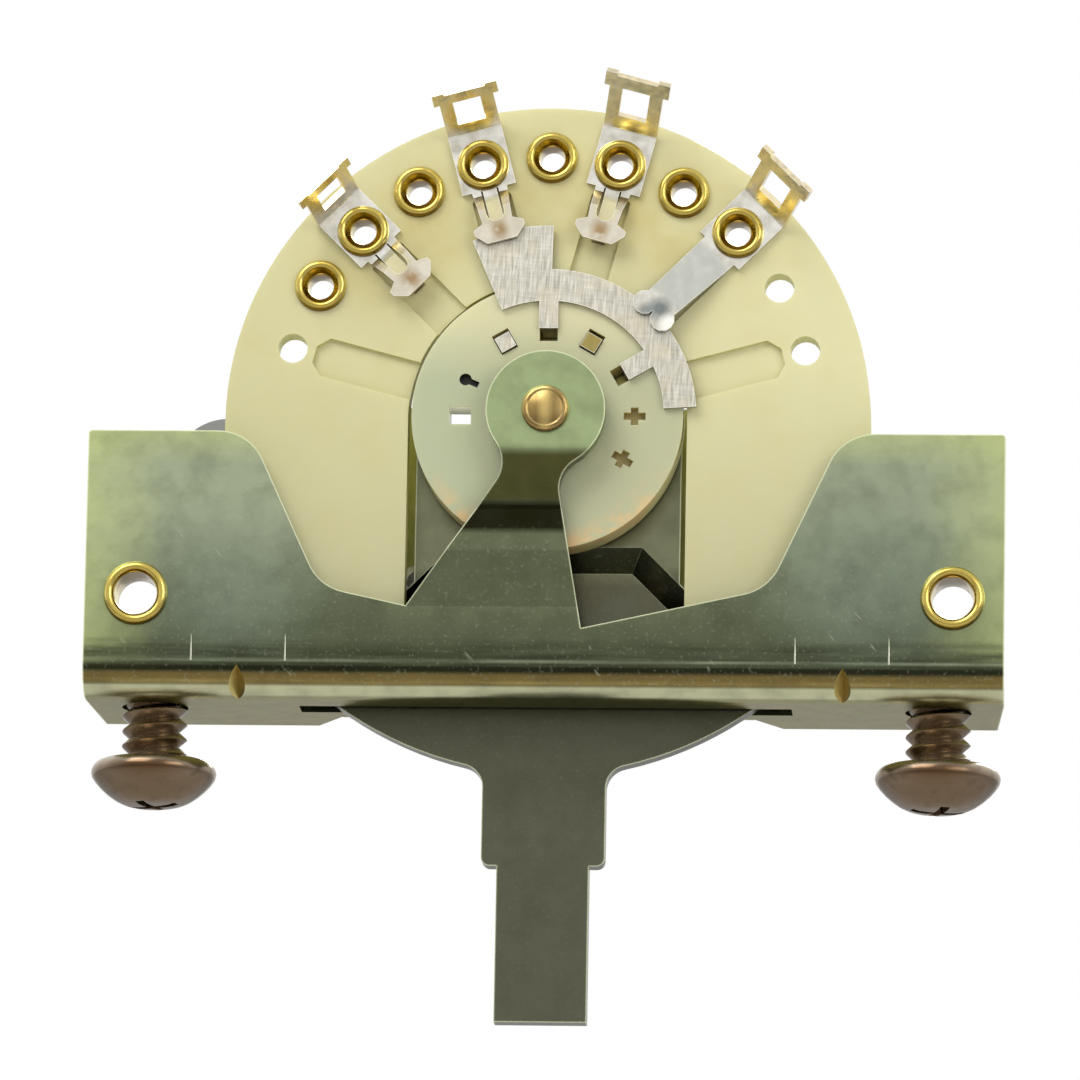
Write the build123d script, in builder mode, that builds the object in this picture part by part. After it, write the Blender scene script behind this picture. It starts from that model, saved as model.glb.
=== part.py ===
"""Three position lever selector switch with an open wafer, in millimetres.

X runs along the frame, Y points away from the contact side and Z points up.
The origin lies on the underside of the mounting web, midway between the two
mounting screws.  Angles round the pivot are counted from straight up, and are
positive towards +X.
"""

import math
import os

from build123d import *

# Mounting
screw_spacing = 41.28
screw_diameter = 3.5
screw_length = 6.35
screw_head_diameter = 6.6
screw_head_height = 2.25
screw_standoff = 3.0
screw_fit = 0.01
screw_pitch = 0.79
recess_span = 3.6
recess_width = 0.8
recess_depth = 1.3
recess_taper = 12.0
screw_turns = (20.0, -15.0)

# Folded frame
sheet = 1.0
bend_radius = 0.7
screw_margin = 3.46
web_end_taper = 0.4
ear_height = 14.05
ear_width = 8.5
ear_corner = 0.2
shoulder_run = 3.85
shoulder_height = 5.75
valley_radius = 2.6
arm_foot_left = 7.2
arm_foot_right = 2.0
arm_foot_height_left = 4.75
arm_foot_height_right = 3.6
arm_neck_left = 1.0
arm_neck_right = 0.3
arm_neck_radius = 1.7
arm_lean = 0.35
arm_lean_run = 2.95
arm_joggle = 1.0
joggle_start_drop = 5.2
joggle_end_drop = 1.95
arm_head_radius = 3.14
slot_end_gap = 2.1
gusset_places = (-16.0, 15.7)
gusset_width = 0.85
gusset_depth = 0.4
slot_clearance = 0.3

# Index wall at the back of the frame
wall_half_width = 10.9
wall_top = 16.9
wall_top_half_width = 8.5
wall_notch_radius = 6.0
wall_standoff = 0.8
web_overhang = 0.95
relief = 1.45

# Pivot
pivot_height = 15.1
pivot_radius = 0.95
pivot_clearance = 0.05
rivet_head_radius = 1.25
rivet_head_height = 0.5
rivet_back_radius = 1.9
washer_radius = 2.6
washer_thickness = 0.3

# Stator wafer
wafer_thickness = 1.5
wafer_setback = 1.3
wafer_margin = 1.0
wafer_drop = 0.3
wafer_foot = 1.6
wing_margin = 0.5
wing_top = 8.5
opening_gap = 0.2
pocket_width = 2.1
pocket_depth = 0.3
pocket_end_gap = 1.2
pocket_corner = 0.6

# Rotor
rotor_radius = 7.15
rotor_thickness = 2.0
rotor_slot_width = 0.95
rotor_slot_length = 1.15
rotor_slot_circle = 4.6
blind_slot_depth = 0.6
blind_slot_arm = 0.4
keyhole_circle = 4.75
keyhole_radius = 0.33
keyhole_slit = 0.75
front_boss_radius = 1.8
rear_boss_radius = 3.4
hub_radius = 2.6
hub_flat = 1.9
running_gap = 0.05

# Contact blades
blade_thickness = 0.3
ring_inner = 6.15
ring_outer = 7.85
pad_overlap = 0.55
pad_start = -23.6
pad_end = 1.0
ring_end = 86.5
tab_width = 1.0
tab_end = 4.66
clinch = 0.15
rear_blade_shift = -15.0

# Contact clips and their eyelets
clip_thickness = 0.3
clip_width = 2.9
clip_shoulder = 12.65
clip_shoulder_gap = 1.35
clip_bend_gap = 2.0
jaw_length = 1.1
jaw_width = 1.95
jaw_waist = 1.6
jaw_wing = 2.7
common_reach = 7.2
common_width = 2.2
common_lobe = 0.65
contact_gap = 0.1
fork_width = 0.95
fork_length = 1.9
lug_length = 3.9
lug_bar_width = 3.5
lug_bar_length = 0.95
lug_bar_step = 0.18
lug_tab_width = 0.65
lug_window_width = 1.5
lug_window_length = 1.95
lug_bend_radius = 0.25
eyelet_radius = 1.38
eyelet_hole_radius = 0.65
eyelet_barrel_radius = 0.78
eyelet_height = 0.4

# Large eyelets between ears and wafer wings
frame_eyelet_margin = 2.7
frame_eyelet_z = 5.3
frame_eyelet_radius = 1.7
frame_eyelet_barrel = 1.35
frame_eyelet_hole = 1.1

# Lever
lever_thickness = 1.2
lever_step = 0.7
lever_neck = 7.0
step_line = 6.56
step_half_width = 5.0
step_run = 1.3
flare_start = 8.5
fan_drop = 3.5
stem_width = 6.5
stem_end = 8.38
tip_width = 4.85
tip_end = 16.65
stem_fillet = 1.2
stem_corner = 0.45
peep_width = 1.4
peep_height = 1.6
peep_x = -4.75
peep_z = 0.8
travel = 30.0

# Index ball and its leaf spring
ball_radius = 1.4
ball_z = 3.2
ball_fit = 0.05
dent_radius = 0.8
dent_depth = 0.35
dent_floor = 0.25
spring_thickness = 0.3
spring_angle = 30.4
spring_end_x = -17.5
spring_end_radius = 3.0
spring_tip_radius = 2.2
spring_dimple_radius = 0.8
spring_rivet_share = 0.4
spring_rivet_radius = 0.7
spring_rivet_head = 0.4

# Flat sides round small turned pieces and their holes
small_sides = 12
round_sides = 20

# Depth stack, from the middle of the lever towards the front and the back
lever_front = -lever_thickness / 2
lever_back = lever_thickness / 2
head_front = lever_front - lever_step
head_back = lever_back - lever_step
wafer_back = lever_front - wafer_setback
wafer_middle = wafer_back - wafer_thickness / 2
wafer_front = wafer_back - wafer_thickness
flange_back = wafer_front
flange_front = flange_back - sheet
arm_back = flange_back - arm_joggle
arm_front = arm_back - sheet
rotor_face = rotor_thickness / 2
jaw_level = rotor_face + blade_thickness + contact_gap + clip_thickness / 2
body_level = wafer_thickness / 2 + clip_thickness / 2
tongue_level = rotor_face - contact_gap - clip_thickness / 2
ball_y = lever_back + ball_fit + ball_radius
index_circle = pivot_height - ball_z
wall_front = ball_y + wall_standoff
wall_back = wall_front + sheet
web_back = wall_back + web_overhang
washer_front = head_back + running_gap
washer_back = washer_front + washer_thickness
rivet_back = washer_back + rivet_head_height
half_length = screw_spacing / 2 + screw_margin
ear_inner_x = half_length - ear_width
shoulder_x = ear_inner_x - shoulder_run
valley = min(valley_radius, shoulder_x - arm_foot_left)
wing_reach = half_length - wing_margin
frame_eyelet_x = half_length - frame_eyelet_margin
step_edge = lever_neck + step_run / 2
outer_bend = bend_radius + sheet
lean_top = pivot_height - rotor_radius - 5 * running_gap
lean_start = lean_top - arm_lean_run
fan_radius = pivot_height + fan_drop
slot_length = 2 * (math.sqrt(fan_radius**2 - pivot_height**2) + slot_end_gap)
opening_radius = rotor_radius + opening_gap
eyelet_circle = clip_shoulder + clip_shoulder_gap
clip_bend_circle = eyelet_circle + clip_bend_gap
wafer_radius = clip_bend_circle + wafer_margin
pocket_reach = eyelet_circle - pocket_end_gap
fork_start = clip_shoulder + clip_thickness
fork_end = clip_shoulder - fork_length
jaw_reach = fork_end - jaw_length
pad_outer = jaw_reach + pad_overlap
front_seam = flange_back + 2 * bend_radius
back_seam = wall_back - outer_bend - bend_radius
spring_back = wall_back + spring_thickness
spring_end_z = ball_z - spring_end_x * math.tan(math.radians(spring_angle))
spring_rivet_x = spring_end_x * spring_rivet_share
spring_rivet_z = ball_z - spring_rivet_x * math.tan(math.radians(spring_angle))

# Clip places round the pivot with the forward angle of each lug
front_clips = {"left": (-45.0, 78.0), "middle": (-15.0, 67.0), "right": (15.0, 56.0)}
front_common_place = (45.0, 62.0)
rear_clips = {"left": (-60.0, 70.0), "middle": (-30.0, 65.0), "right": (0.0, 65.0)}
rear_common_place = (30.0, 65.0)
front_angles = [-45.0, -15.0, 15.0, 45.0]
rear_angles = [-60.0, -30.0, 0.0, 30.0]
spare_holes = [-75.0, 60.0, 75.0]
front_pockets = [-75.0, -45.0, -15.0, 15.0, 45.0, 75.0]
rear_pockets = [-60.0, -30.0, 0.0, 30.0, 60.0]
front_tabs = [0.0, 60.0]
rear_tabs = [-30.0, 30.0]
open_slot = -90.0
blind_slots = [90.0, 120.0]
keyhole_angle = -66.0


def facing(y):
    """Plane that faces the contact side at depth y, with local axes X and Z."""
    return Plane(origin=(0, y, 0), x_dir=(1, 0, 0), z_dir=(0, -1, 0))


def round_pivot(y):
    """Plane like facing, with its origin on the pivot axis."""
    return Plane(origin=(0, y, pivot_height), x_dir=(1, 0, 0), z_dir=(0, -1, 0))


def radial(angle, side):
    """Plane across the wafer along a radius, with local axes radius and height.

    Height is counted from the middle of the wafer, forward for side 1 and
    backward for side -1.
    """
    turn = math.radians(angle)
    outward = Vector(math.sin(turn), 0, math.cos(turn))
    across = Vector(math.cos(turn), 0, -math.sin(turn)) * side
    return Plane(origin=(0, wafer_middle, pivot_height), x_dir=outward, z_dir=across)


def plan(angle, side, level=0.0):
    """Plane parallel to the wafer, with local axes across and outward."""
    turn = math.radians(angle)
    across = Vector(math.cos(turn), 0, -math.sin(turn)) * side
    foot = Vector(0, wafer_middle - side * level, pivot_height)
    return Plane(origin=foot, x_dir=across, z_dir=(0, -side, 0))


def place(angle, reach):
    """Point in a plane whose origin is on the pivot, at a radius and an angle."""
    turn = math.radians(angle)
    return (reach * math.sin(turn), reach * math.cos(turn))


def wedge(start, end):
    """Corners of a wedge from the pivot that reaches past every blade."""
    reach = 2 * pad_outer
    middle = (start + end) / 2
    return [(0, 0), place(start, reach), place(middle, 2 * reach), place(end, reach)]


def turned(base, rings, sides):
    """Solid of flat facets round an axis.

    Args: base is a plane across the axis, rings are levels above it with the
    radius at each one, in order, and sides is the number of facets.
    """
    with BuildPart() as made:
        for (low, low_radius), (high, high_radius) in zip(rings, rings[1:]):
            if low == high:
                continue
            fall = (low_radius - high_radius) * math.cos(math.pi / sides)
            with BuildSketch(base.offset(low)):
                RegularPolygon(low_radius, sides)
            extrude(amount=high - low, taper=math.degrees(math.atan2(fall, high - low)))
    return made.part


clip_holes = [place(a, eyelet_circle) for a in front_angles + rear_angles]
open_holes = [place(a, eyelet_circle) for a in spare_holes]


# Pivot arm outline, with its neck rounded into the head
with BuildSketch() as arm_outline:
    with BuildLine():
        Polyline(
            (-arm_foot_left, sheet + bend_radius),
            (-arm_foot_left, arm_foot_height_left),
            (-arm_neck_left, pivot_height - arm_head_radius / 2),
            (arm_neck_right, pivot_height - arm_head_radius / 2),
            (arm_foot_right, arm_foot_height_right),
            (arm_foot_right, sheet + bend_radius),
            close=True,
        )
    make_face()
    with Locations((0, pivot_height)):
        Circle(arm_head_radius)
    necks = arm_outline.vertices().filter_by_position(
        Axis.Y, lean_top, pivot_height - arm_head_radius * 0.6
    )
    fillet(necks, arm_neck_radius)

# Pivot arm, stepped forward to clear the rotor
with BuildPart() as arm:
    with BuildSketch(Plane.YZ):
        with BuildLine():
            FilletPolyline(
                (flange_back - sheet / 2, 0),
                (flange_back - sheet / 2, lean_start),
                (flange_back - sheet / 2 - arm_lean, lean_top),
                (flange_back - sheet / 2 - arm_lean, pivot_height - joggle_start_drop),
                (arm_back - sheet / 2, pivot_height - joggle_end_drop),
                (arm_back - sheet / 2, pivot_height + 2 * arm_head_radius),
                radius=bend_radius,
            )
        trace(line_width=sheet)
    extrude(amount=half_length, both=True)
    with BuildSketch(facing(0)):
        add(arm_outline.sketch)
    extrude(amount=-2 * arm_front, mode=Mode.INTERSECT)

# Front flange with its two ears and the bend at its foot
with BuildPart() as flange:
    with BuildSketch(Plane.YZ):
        with BuildLine():
            FilletPolyline(
                (flange_back - sheet / 2, ear_height + sheet),
                (flange_back - sheet / 2, sheet / 2),
                (front_seam, sheet / 2),
                radius=bend_radius + sheet / 2,
            )
        trace(line_width=sheet)
    extrude(amount=half_length, both=True)
    with BuildSketch(facing(0)):
        with BuildLine():
            FilletPolyline(
                (-half_length, 0),
                (-half_length, ear_height),
                (-ear_inner_x, ear_height),
                (-shoulder_x, shoulder_height),
                (-arm_foot_left, arm_foot_height_left),
                (arm_foot_right, arm_foot_height_right),
                (shoulder_x, shoulder_height),
                (ear_inner_x, ear_height),
                (half_length, ear_height),
                (half_length, 0),
                radius=(0, ear_corner, valley, valley, 0)
                + (0, valley, valley, ear_corner, 0),
                close=True,
            )
        make_face()
    extrude(amount=-2 * flange_front, mode=Mode.INTERSECT)

# Index wall with an open top round the rotor
with BuildPart() as wall:
    with BuildSketch(Plane.YZ):
        with BuildLine():
            FilletPolyline(
                (back_seam, sheet / 2),
                (wall_back - sheet / 2, sheet / 2),
                (wall_back - sheet / 2, wall_top + sheet),
                radius=bend_radius + sheet / 2,
            )
        trace(line_width=sheet)
    extrude(amount=wall_half_width, both=True)
    with BuildSketch(facing(wall_back)):
        with BuildLine():
            FilletPolyline(
                (-wall_half_width, 0),
                (-wall_half_width, outer_bend + sheet),
                (-wall_top_half_width, wall_top),
                (wall_top_half_width, wall_top),
                (wall_half_width, outer_bend + sheet),
                (wall_half_width, 0),
                radius=(0, 0, sheet / 2, sheet / 2, 0, 0),
                close=True,
            )
        make_face()
        with Locations((0, wall_top)):
            Circle(wall_notch_radius, mode=Mode.SUBTRACT)
    extrude(amount=wall_back - flange_front, mode=Mode.INTERSECT)

# Stiffening dents across the front bend
groove_reach = outer_bend - gusset_depth
groove_spread = outer_bend * gusset_width / gusset_depth / 2
groove_step = groove_reach / math.sqrt(2)

# Mounting web with a relief on each side of the index wall
with BuildPart() as frame:
    with BuildSketch(Plane.XY):
        with BuildLine():
            Polyline(
                (-half_length, front_seam),
                (half_length, front_seam),
                (half_length - web_end_taper, web_back),
                (wall_half_width + relief, web_back),
                (wall_half_width, wall_back - outer_bend),
                (wall_half_width, back_seam),
                (-wall_half_width, back_seam),
                (-wall_half_width, wall_back - outer_bend),
                (-wall_half_width - relief, web_back),
                (-half_length + web_end_taper, web_back),
                close=True,
            )
        make_face()
    extrude(amount=sheet)
    add(flange.part)
    add(wall.part)
    add(arm.part)
    for x in gusset_places:
        groove = Plane(
            origin=(x, flange_back + bend_radius - groove_step, outer_bend - groove_step),
            x_dir=(1, 0, 0),
            z_dir=(0, 1, -1),
        )
        with BuildSketch(groove):
            with BuildLine():
                Polyline(
                    (0, 0),
                    (groove_spread, outer_bend),
                    (-groove_spread, outer_bend),
                    close=True,
                )
            make_face()
        extrude(amount=outer_bend, both=True, mode=Mode.SUBTRACT)
    # Lever slot and mounting screw holes
    with BuildSketch(Plane.XY):
        Rectangle(slot_length, lever_thickness + 2 * slot_clearance)
        with GridLocations(screw_spacing, 1, 2, 1):
            RegularPolygon(screw_diameter / 2 + screw_fit, round_sides)
    extrude(amount=sheet, mode=Mode.SUBTRACT)
    # Eyelet holes in the ears and the pivot hole in the arm
    with BuildSketch(facing(0)):
        with Locations((-frame_eyelet_x, frame_eyelet_z), (frame_eyelet_x, frame_eyelet_z)):
            RegularPolygon(frame_eyelet_barrel + screw_fit, round_sides)
        with Locations((0, pivot_height)):
            RegularPolygon(pivot_radius + screw_fit, round_sides)
    extrude(amount=-arm_front, mode=Mode.SUBTRACT)
    # Ball hole and spring rivet hole in the index wall
    with BuildSketch(facing(wall_back)):
        with Locations((0, ball_z)):
            RegularPolygon(ball_radius + ball_fit, round_sides)
        with Locations((spring_rivet_x, spring_rivet_z)):
            RegularPolygon(spring_rivet_radius + screw_fit, small_sides)
    extrude(amount=sheet, mode=Mode.SUBTRACT)

with BuildPart() as wafer:
    with BuildSketch(facing(wafer_back)):
        with Locations((0, pivot_height - wafer_drop)):
            Circle(wafer_radius)
        with Locations((0, wafer_foot)):
            Rectangle(
                2 * wafer_radius,
                pivot_height - wafer_drop - wafer_foot,
                align=(Align.CENTER, Align.MIN),
            )
            Rectangle(
                2 * wing_reach,
                wing_top - wafer_foot,
                align=(Align.CENTER, Align.MIN),
            )
        with Locations((0, pivot_height)):
            Circle(opening_radius, mode=Mode.SUBTRACT)
            Rectangle(
                2 * opening_radius,
                pivot_height,
                align=(Align.CENTER, Align.MAX),
                mode=Mode.SUBTRACT,
            )
        with Locations((0, wafer_foot)):
            Rectangle(
                2 * wing_reach,
                wafer_radius,
                align=(Align.CENTER, Align.MAX),
                mode=Mode.SUBTRACT,
            )
        with Locations((-frame_eyelet_x, frame_eyelet_z), (frame_eyelet_x, frame_eyelet_z)):
            RegularPolygon(frame_eyelet_barrel + screw_fit, round_sides, mode=Mode.SUBTRACT)
        with Locations([(x, z + pivot_height) for x, z in clip_holes]):
            RegularPolygon(eyelet_barrel_radius + screw_fit, small_sides, mode=Mode.SUBTRACT)
        with Locations([(x, z + pivot_height) for x, z in open_holes]):
            RegularPolygon(eyelet_barrel_radius + screw_fit, round_sides, mode=Mode.SUBTRACT)
    extrude(amount=wafer_thickness)
    # Pockets that give the lower jaws room to spring
    for side, pockets in ((1, front_pockets), (-1, rear_pockets)):
        for angle in pockets:
            with BuildSketch(plan(angle, side, wafer_thickness / 2 - pocket_depth)) as pocket:
                with Locations((0, opening_radius - sheet)):
                    Rectangle(
                        pocket_width,
                        pocket_reach - opening_radius + sheet,
                        align=(Align.CENTER, Align.MIN),
                    )
                chamfer(pocket.vertices().group_by(Axis.Y)[-1], pocket_corner)
            extrude(amount=pocket_depth, mode=Mode.SUBTRACT)

with BuildPart() as rotor:
    with BuildSketch(round_pivot(wafer_middle)):
        Circle(rotor_radius)
    extrude(amount=rotor_thickness / 2, both=True)
    # Boss up to the arm, boss down to the lever and the keyed hub
    with BuildSketch(round_pivot(wafer_middle)):
        RegularPolygon(front_boss_radius, round_sides)
    extrude(amount=wafer_middle - flange_front - running_gap)
    with BuildSketch(round_pivot(head_front)):
        RegularPolygon(rear_boss_radius, round_sides)
    extrude(amount=head_front - wafer_middle)
    with BuildSketch(round_pivot(head_back)):
        Circle(hub_radius)
        Rectangle(2 * hub_flat, 2 * hub_radius, mode=Mode.INTERSECT)
    extrude(amount=lever_thickness)
    with BuildSketch(round_pivot(lever_back)):
        Circle(pivot_radius + pivot_clearance)
    extrude(amount=-2 * arm_front, mode=Mode.SUBTRACT)
    # Ring of slots for the blade tabs
    for angle in front_tabs + rear_tabs + [open_slot]:
        with BuildSketch(plan(angle, 1, -rotor_face)):
            with Locations((0, rotor_slot_circle)):
                Rectangle(rotor_slot_width, rotor_slot_length)
        extrude(amount=rotor_thickness, mode=Mode.SUBTRACT)
    # Unused slots, as crosses that stop inside the disc
    for angle in blind_slots:
        with BuildSketch(plan(angle, 1, rotor_face)):
            with Locations((0, rotor_slot_circle)):
                Rectangle(rotor_slot_width, blind_slot_arm)
                Rectangle(blind_slot_arm, rotor_slot_length)
        extrude(amount=-blind_slot_depth, mode=Mode.SUBTRACT)
    with BuildSketch(plan(keyhole_angle, 1, rotor_face)):
        with Locations((0, keyhole_circle)):
            RegularPolygon(keyhole_radius, small_sides)
            Rectangle(keyhole_radius, keyhole_slit, align=(Align.CENTER, Align.MAX))
    extrude(amount=-blind_slot_depth, mode=Mode.SUBTRACT)


def contact_blade(side, shift, tabs):
    """Stamped contact on one rotor face, with tabs folded into the slots.

    Args: side is 1 for the front and -1 for the back, shift turns the ring and
    its pad, and tabs are the angles of the folded tabs.
    """
    leg_width = rotor_slot_width - 2 * running_gap
    ring = wedge(side * (pad_start + shift), side * (ring_end + shift))
    pad = wedge(side * (pad_start + shift), side * (pad_end + shift))
    with BuildPart() as blade:
        for outline, outer in ((ring, ring_outer), (pad, pad_outer)):
            with BuildSketch(plan(0, side, rotor_face)):
                with BuildLine():
                    Polyline(*outline, close=True)
                make_face()
                Circle(outer, mode=Mode.INTERSECT)
                Circle(ring_inner, mode=Mode.SUBTRACT)
            extrude(amount=blade_thickness)
        for angle in tabs:
            with BuildSketch(plan(angle, side, rotor_face)):
                with Locations((0, tab_end)):
                    Rectangle(
                        tab_width,
                        ring_inner + blade_thickness - tab_end,
                        align=(Align.CENTER, Align.MIN),
                    )
            extrude(amount=blade_thickness)
            with BuildSketch(plan(angle, side, running_gap - rotor_face)):
                with Locations((0, tab_end)):
                    Rectangle(leg_width, blade_thickness, align=(Align.CENTER, Align.MIN))
            extrude(amount=rotor_thickness - running_gap + blade_thickness)
        # Tab ends that come through to the front are clinched flat there
        if side < 0:
            for angle in tabs:
                with BuildSketch(plan(angle, side, -rotor_face - clinch)):
                    with Locations((0, tab_end + blade_thickness)):
                        Rectangle(leg_width, leg_width, align=(Align.CENTER, Align.MAX))
                extrude(amount=clinch + running_gap)
    return blade.part


def contact_clip(angle, bend, side, common=False):
    """Stamped clip with a solder lug, a body under its eyelet and two jaws.

    Args: angle is its place round the pivot, bend leans the lug out of the
    wafer, side is 1 for the front and -1 for the back, and common picks the
    plain tapered blade that stays on the ring in place of the forked jaw.
    """
    lean = math.radians(bend)
    reach = common_reach if common else jaw_reach
    rise_start = clip_shoulder - clip_thickness
    rise_end = reach + 2 * common_lobe if common else rise_start - 3 * clip_thickness
    across = radial(angle, side)
    lug_plane = Plane(
        origin=across.from_local_coords((clip_bend_circle, body_level, 0)),
        x_dir=across.z_dir,
        z_dir=across.y_dir * math.cos(lean) - across.x_dir * math.sin(lean),
    )
    with BuildPart() as clip:
        # Body and lug as one bent strip
        with BuildSketch(across):
            with BuildLine():
                FilletPolyline(
                    (clip_shoulder, body_level),
                    (clip_bend_circle, body_level),
                    (
                        clip_bend_circle + lug_length * math.cos(lean),
                        body_level + lug_length * math.sin(lean),
                    ),
                    radius=lug_bend_radius,
                )
            trace(line_width=clip_thickness)
        extrude(amount=clip_width / 2, both=True)
        # Crossbar at the lug's end and the wire window behind it
        with BuildSketch(lug_plane):
            with Locations((0, lug_length - lug_bar_length / 2)):
                Rectangle(lug_bar_width, lug_bar_length)
        extrude(amount=clip_thickness / 2, both=True)
        with BuildSketch(lug_plane):
            with Locations((0, lug_length - lug_bar_length - lug_window_length / 2)):
                Rectangle(lug_window_width, lug_window_length)
            with Locations((0, lug_length)):
                Rectangle(lug_bar_width - 2 * lug_tab_width, 2 * lug_bar_step)
        extrude(amount=clip_thickness, both=True, mode=Mode.SUBTRACT)
        with BuildSketch(plan(angle, side)):
            with Locations((0, eyelet_circle)):
                RegularPolygon(
                    eyelet_barrel_radius + screw_fit,
                    small_sides,
                    rotation=side * angle,
                )
        extrude(amount=2 * body_level, mode=Mode.SUBTRACT)
    with BuildPart() as jaw:
        # Upper jaw, rising from the body over the blade
        with BuildSketch(across):
            with BuildLine():
                Polyline(
                    (clip_shoulder + clip_thickness, body_level),
                    (rise_start, body_level),
                    (rise_end, jaw_level),
                    (reach, jaw_level),
                )
            trace(line_width=clip_thickness)
        extrude(amount=clip_width, both=True)
        with BuildSketch(plan(angle, side)):
            with BuildLine():
                if common:
                    Polyline(
                        (-common_width / 2, fork_start),
                        (common_width / 2, fork_start),
                        (common_width / 2 - clip_thickness / 2, reach + 2 * common_lobe),
                        (common_lobe, reach + common_lobe),
                        (-common_lobe, reach + common_lobe),
                        (clip_thickness / 2 - common_width / 2, reach + 2 * common_lobe),
                        close=True,
                    )
                else:
                    Polyline(
                        (-jaw_width / 2, fork_start),
                        (jaw_width / 2, fork_start),
                        (jaw_waist / 2, fork_end),
                        (jaw_wing / 2, fork_end - jaw_length / 4),
                        (jaw_wing / 2, fork_end - jaw_length / 2),
                        (jaw_waist / 2, jaw_reach),
                        (-jaw_waist / 2, jaw_reach),
                        (-jaw_wing / 2, fork_end - jaw_length / 2),
                        (-jaw_wing / 2, fork_end - jaw_length / 4),
                        (-jaw_waist / 2, fork_end),
                        close=True,
                    )
            make_face()
            if common:
                with Locations((-common_lobe, reach + common_lobe), (common_lobe, reach + common_lobe)):
                    RegularPolygon(common_lobe, small_sides)
            else:
                with Locations((0, fork_end + fork_width / 2)):
                    RegularPolygon(fork_width / 2, small_sides, mode=Mode.SUBTRACT)
                    Rectangle(
                        fork_width,
                        fork_length,
                        align=(Align.CENTER, Align.MIN),
                        mode=Mode.SUBTRACT,
                    )
        extrude(amount=2 * jaw_level, mode=Mode.INTERSECT)
    with BuildPart() as tongue:
        # Lower jaw, a tongue that dips into the wafer pocket
        with BuildSketch(across):
            with BuildLine():
                Polyline(
                    (fork_start, body_level),
                    (clip_shoulder - clip_thickness, body_level),
                    (clip_shoulder - 2 * clip_thickness, tongue_level),
                    (reach, tongue_level),
                )
            trace(line_width=clip_thickness)
        extrude(amount=fork_width / 2 - contact_gap, both=True)
    with BuildPart() as whole:
        add(clip.part)
        add(jaw.part)
        add(tongue.part)
    return whole.part


def eyelet(x, z, front, back, hole, barrel, roll, sides):
    """Rolled eyelet through a stack, from its front face to its back face."""
    base = Plane(origin=(x, 0, z), x_dir=(1, 0, 0), z_dir=(0, -1, 0))
    crown = (hole + roll) / 2
    rings = [
        (-back - eyelet_height, hole + screw_fit),
        (-back, roll),
        (-back, barrel),
        (-front, barrel),
        (-front, roll),
        (-front + eyelet_height, crown),
    ]
    bore = [
        (-back - eyelet_height, hole),
        (-front + eyelet_height / 2, hole),
        (-front + eyelet_height, crown - screw_fit),
    ]
    with BuildPart() as made:
        add(turned(base, rings, sides))
        add(turned(base, bore, sides), mode=Mode.SUBTRACT)
    return made.part


def wafer_eyelet(angle):
    """Small eyelet that holds the clip at one place round the pivot."""
    x, z = place(angle, eyelet_circle)
    front = wafer_front - clip_thickness * (angle in front_angles)
    back = wafer_back + clip_thickness * (angle in rear_angles)
    return eyelet(
        x,
        z + pivot_height,
        front,
        back,
        eyelet_hole_radius,
        eyelet_barrel_radius,
        eyelet_radius,
        small_sides,
    )


def frame_eyelet(x):
    """Large eyelet through one ear and the wafer wing behind it."""
    return eyelet(
        x,
        frame_eyelet_z,
        flange_front,
        wafer_back,
        frame_eyelet_hole,
        frame_eyelet_barrel,
        frame_eyelet_radius,
        round_sides,
    )


def mounting_screw(x, turn):
    """Round head screw with a cross recess, seen from below."""
    under = -screw_standoff
    bottom = under - screw_head_height
    top = under + screw_length
    head = screw_head_diameter / 2
    shank = screw_diameter / 2
    rings = [
        (bottom, recess_span / 3),
        (under - screw_head_height * 0.85, head * 0.68),
        (under - screw_head_height * 0.6, head * 0.9),
        (under - screw_head_height * 0.3, head),
        (under, head * 0.86),
        (under, shank),
        (top - screw_pitch / 2, shank),
        (top, shank - screw_pitch / 2),
    ]
    with BuildPart() as screw:
        add(turned(Plane(origin=(x, 0, 0)), rings, round_sides))
        floor = Plane(origin=(x, 0, bottom), z_dir=(0, 0, 1))
        with BuildSketch(floor.rotated((0, 0, turn))):
            Rectangle(recess_span, recess_width)
            Rectangle(recess_width, recess_span)
        extrude(amount=recess_depth, taper=recess_taper, mode=Mode.SUBTRACT)
    return screw.part


# Lever outline with a round head, a flared fan, a stem and a narrower tip
with BuildSketch() as lever_outline:
    with BuildLine():
        Polyline(
            (-lever_neck, 0),
            (-lever_neck, -flare_start),
            (-lever_neck - fan_radius, -flare_start - fan_radius),
            (lever_neck + fan_radius, -flare_start - fan_radius),
            (lever_neck, -flare_start),
            (lever_neck, 0),
            close=True,
        )
    make_face()
    Circle(fan_radius, mode=Mode.INTERSECT)
    Circle(lever_neck)
    with Locations((0, sheet - fan_radius)):
        Rectangle(
            stem_width,
            pivot_height + stem_end - fan_radius + sheet,
            align=(Align.CENTER, Align.MAX),
        )
    joints = lever_outline.vertices().filter_by_position(
        Axis.Y, -fan_radius, -fan_radius + sheet / 2
    )
    fillet(joints, stem_fillet)
    fillet(lever_outline.vertices().sort_by(Axis.Y)[0:2], stem_corner)
    with Locations((0, -fan_radius)):
        Rectangle(
            tip_width,
            pivot_height + tip_end - fan_radius,
            align=(Align.CENTER, Align.MAX),
        )
    # Key for the rotor hub and the small opening beside it
    with BuildSketch(mode=Mode.PRIVATE) as key:
        Circle(hub_radius + screw_fit)
        Rectangle(2 * (hub_flat + screw_fit), 3 * hub_radius, mode=Mode.INTERSECT)
    add(key.sketch, mode=Mode.SUBTRACT)
    with Locations((peep_x, peep_z)):
        Rectangle(peep_width, peep_height, mode=Mode.SUBTRACT)

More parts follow.
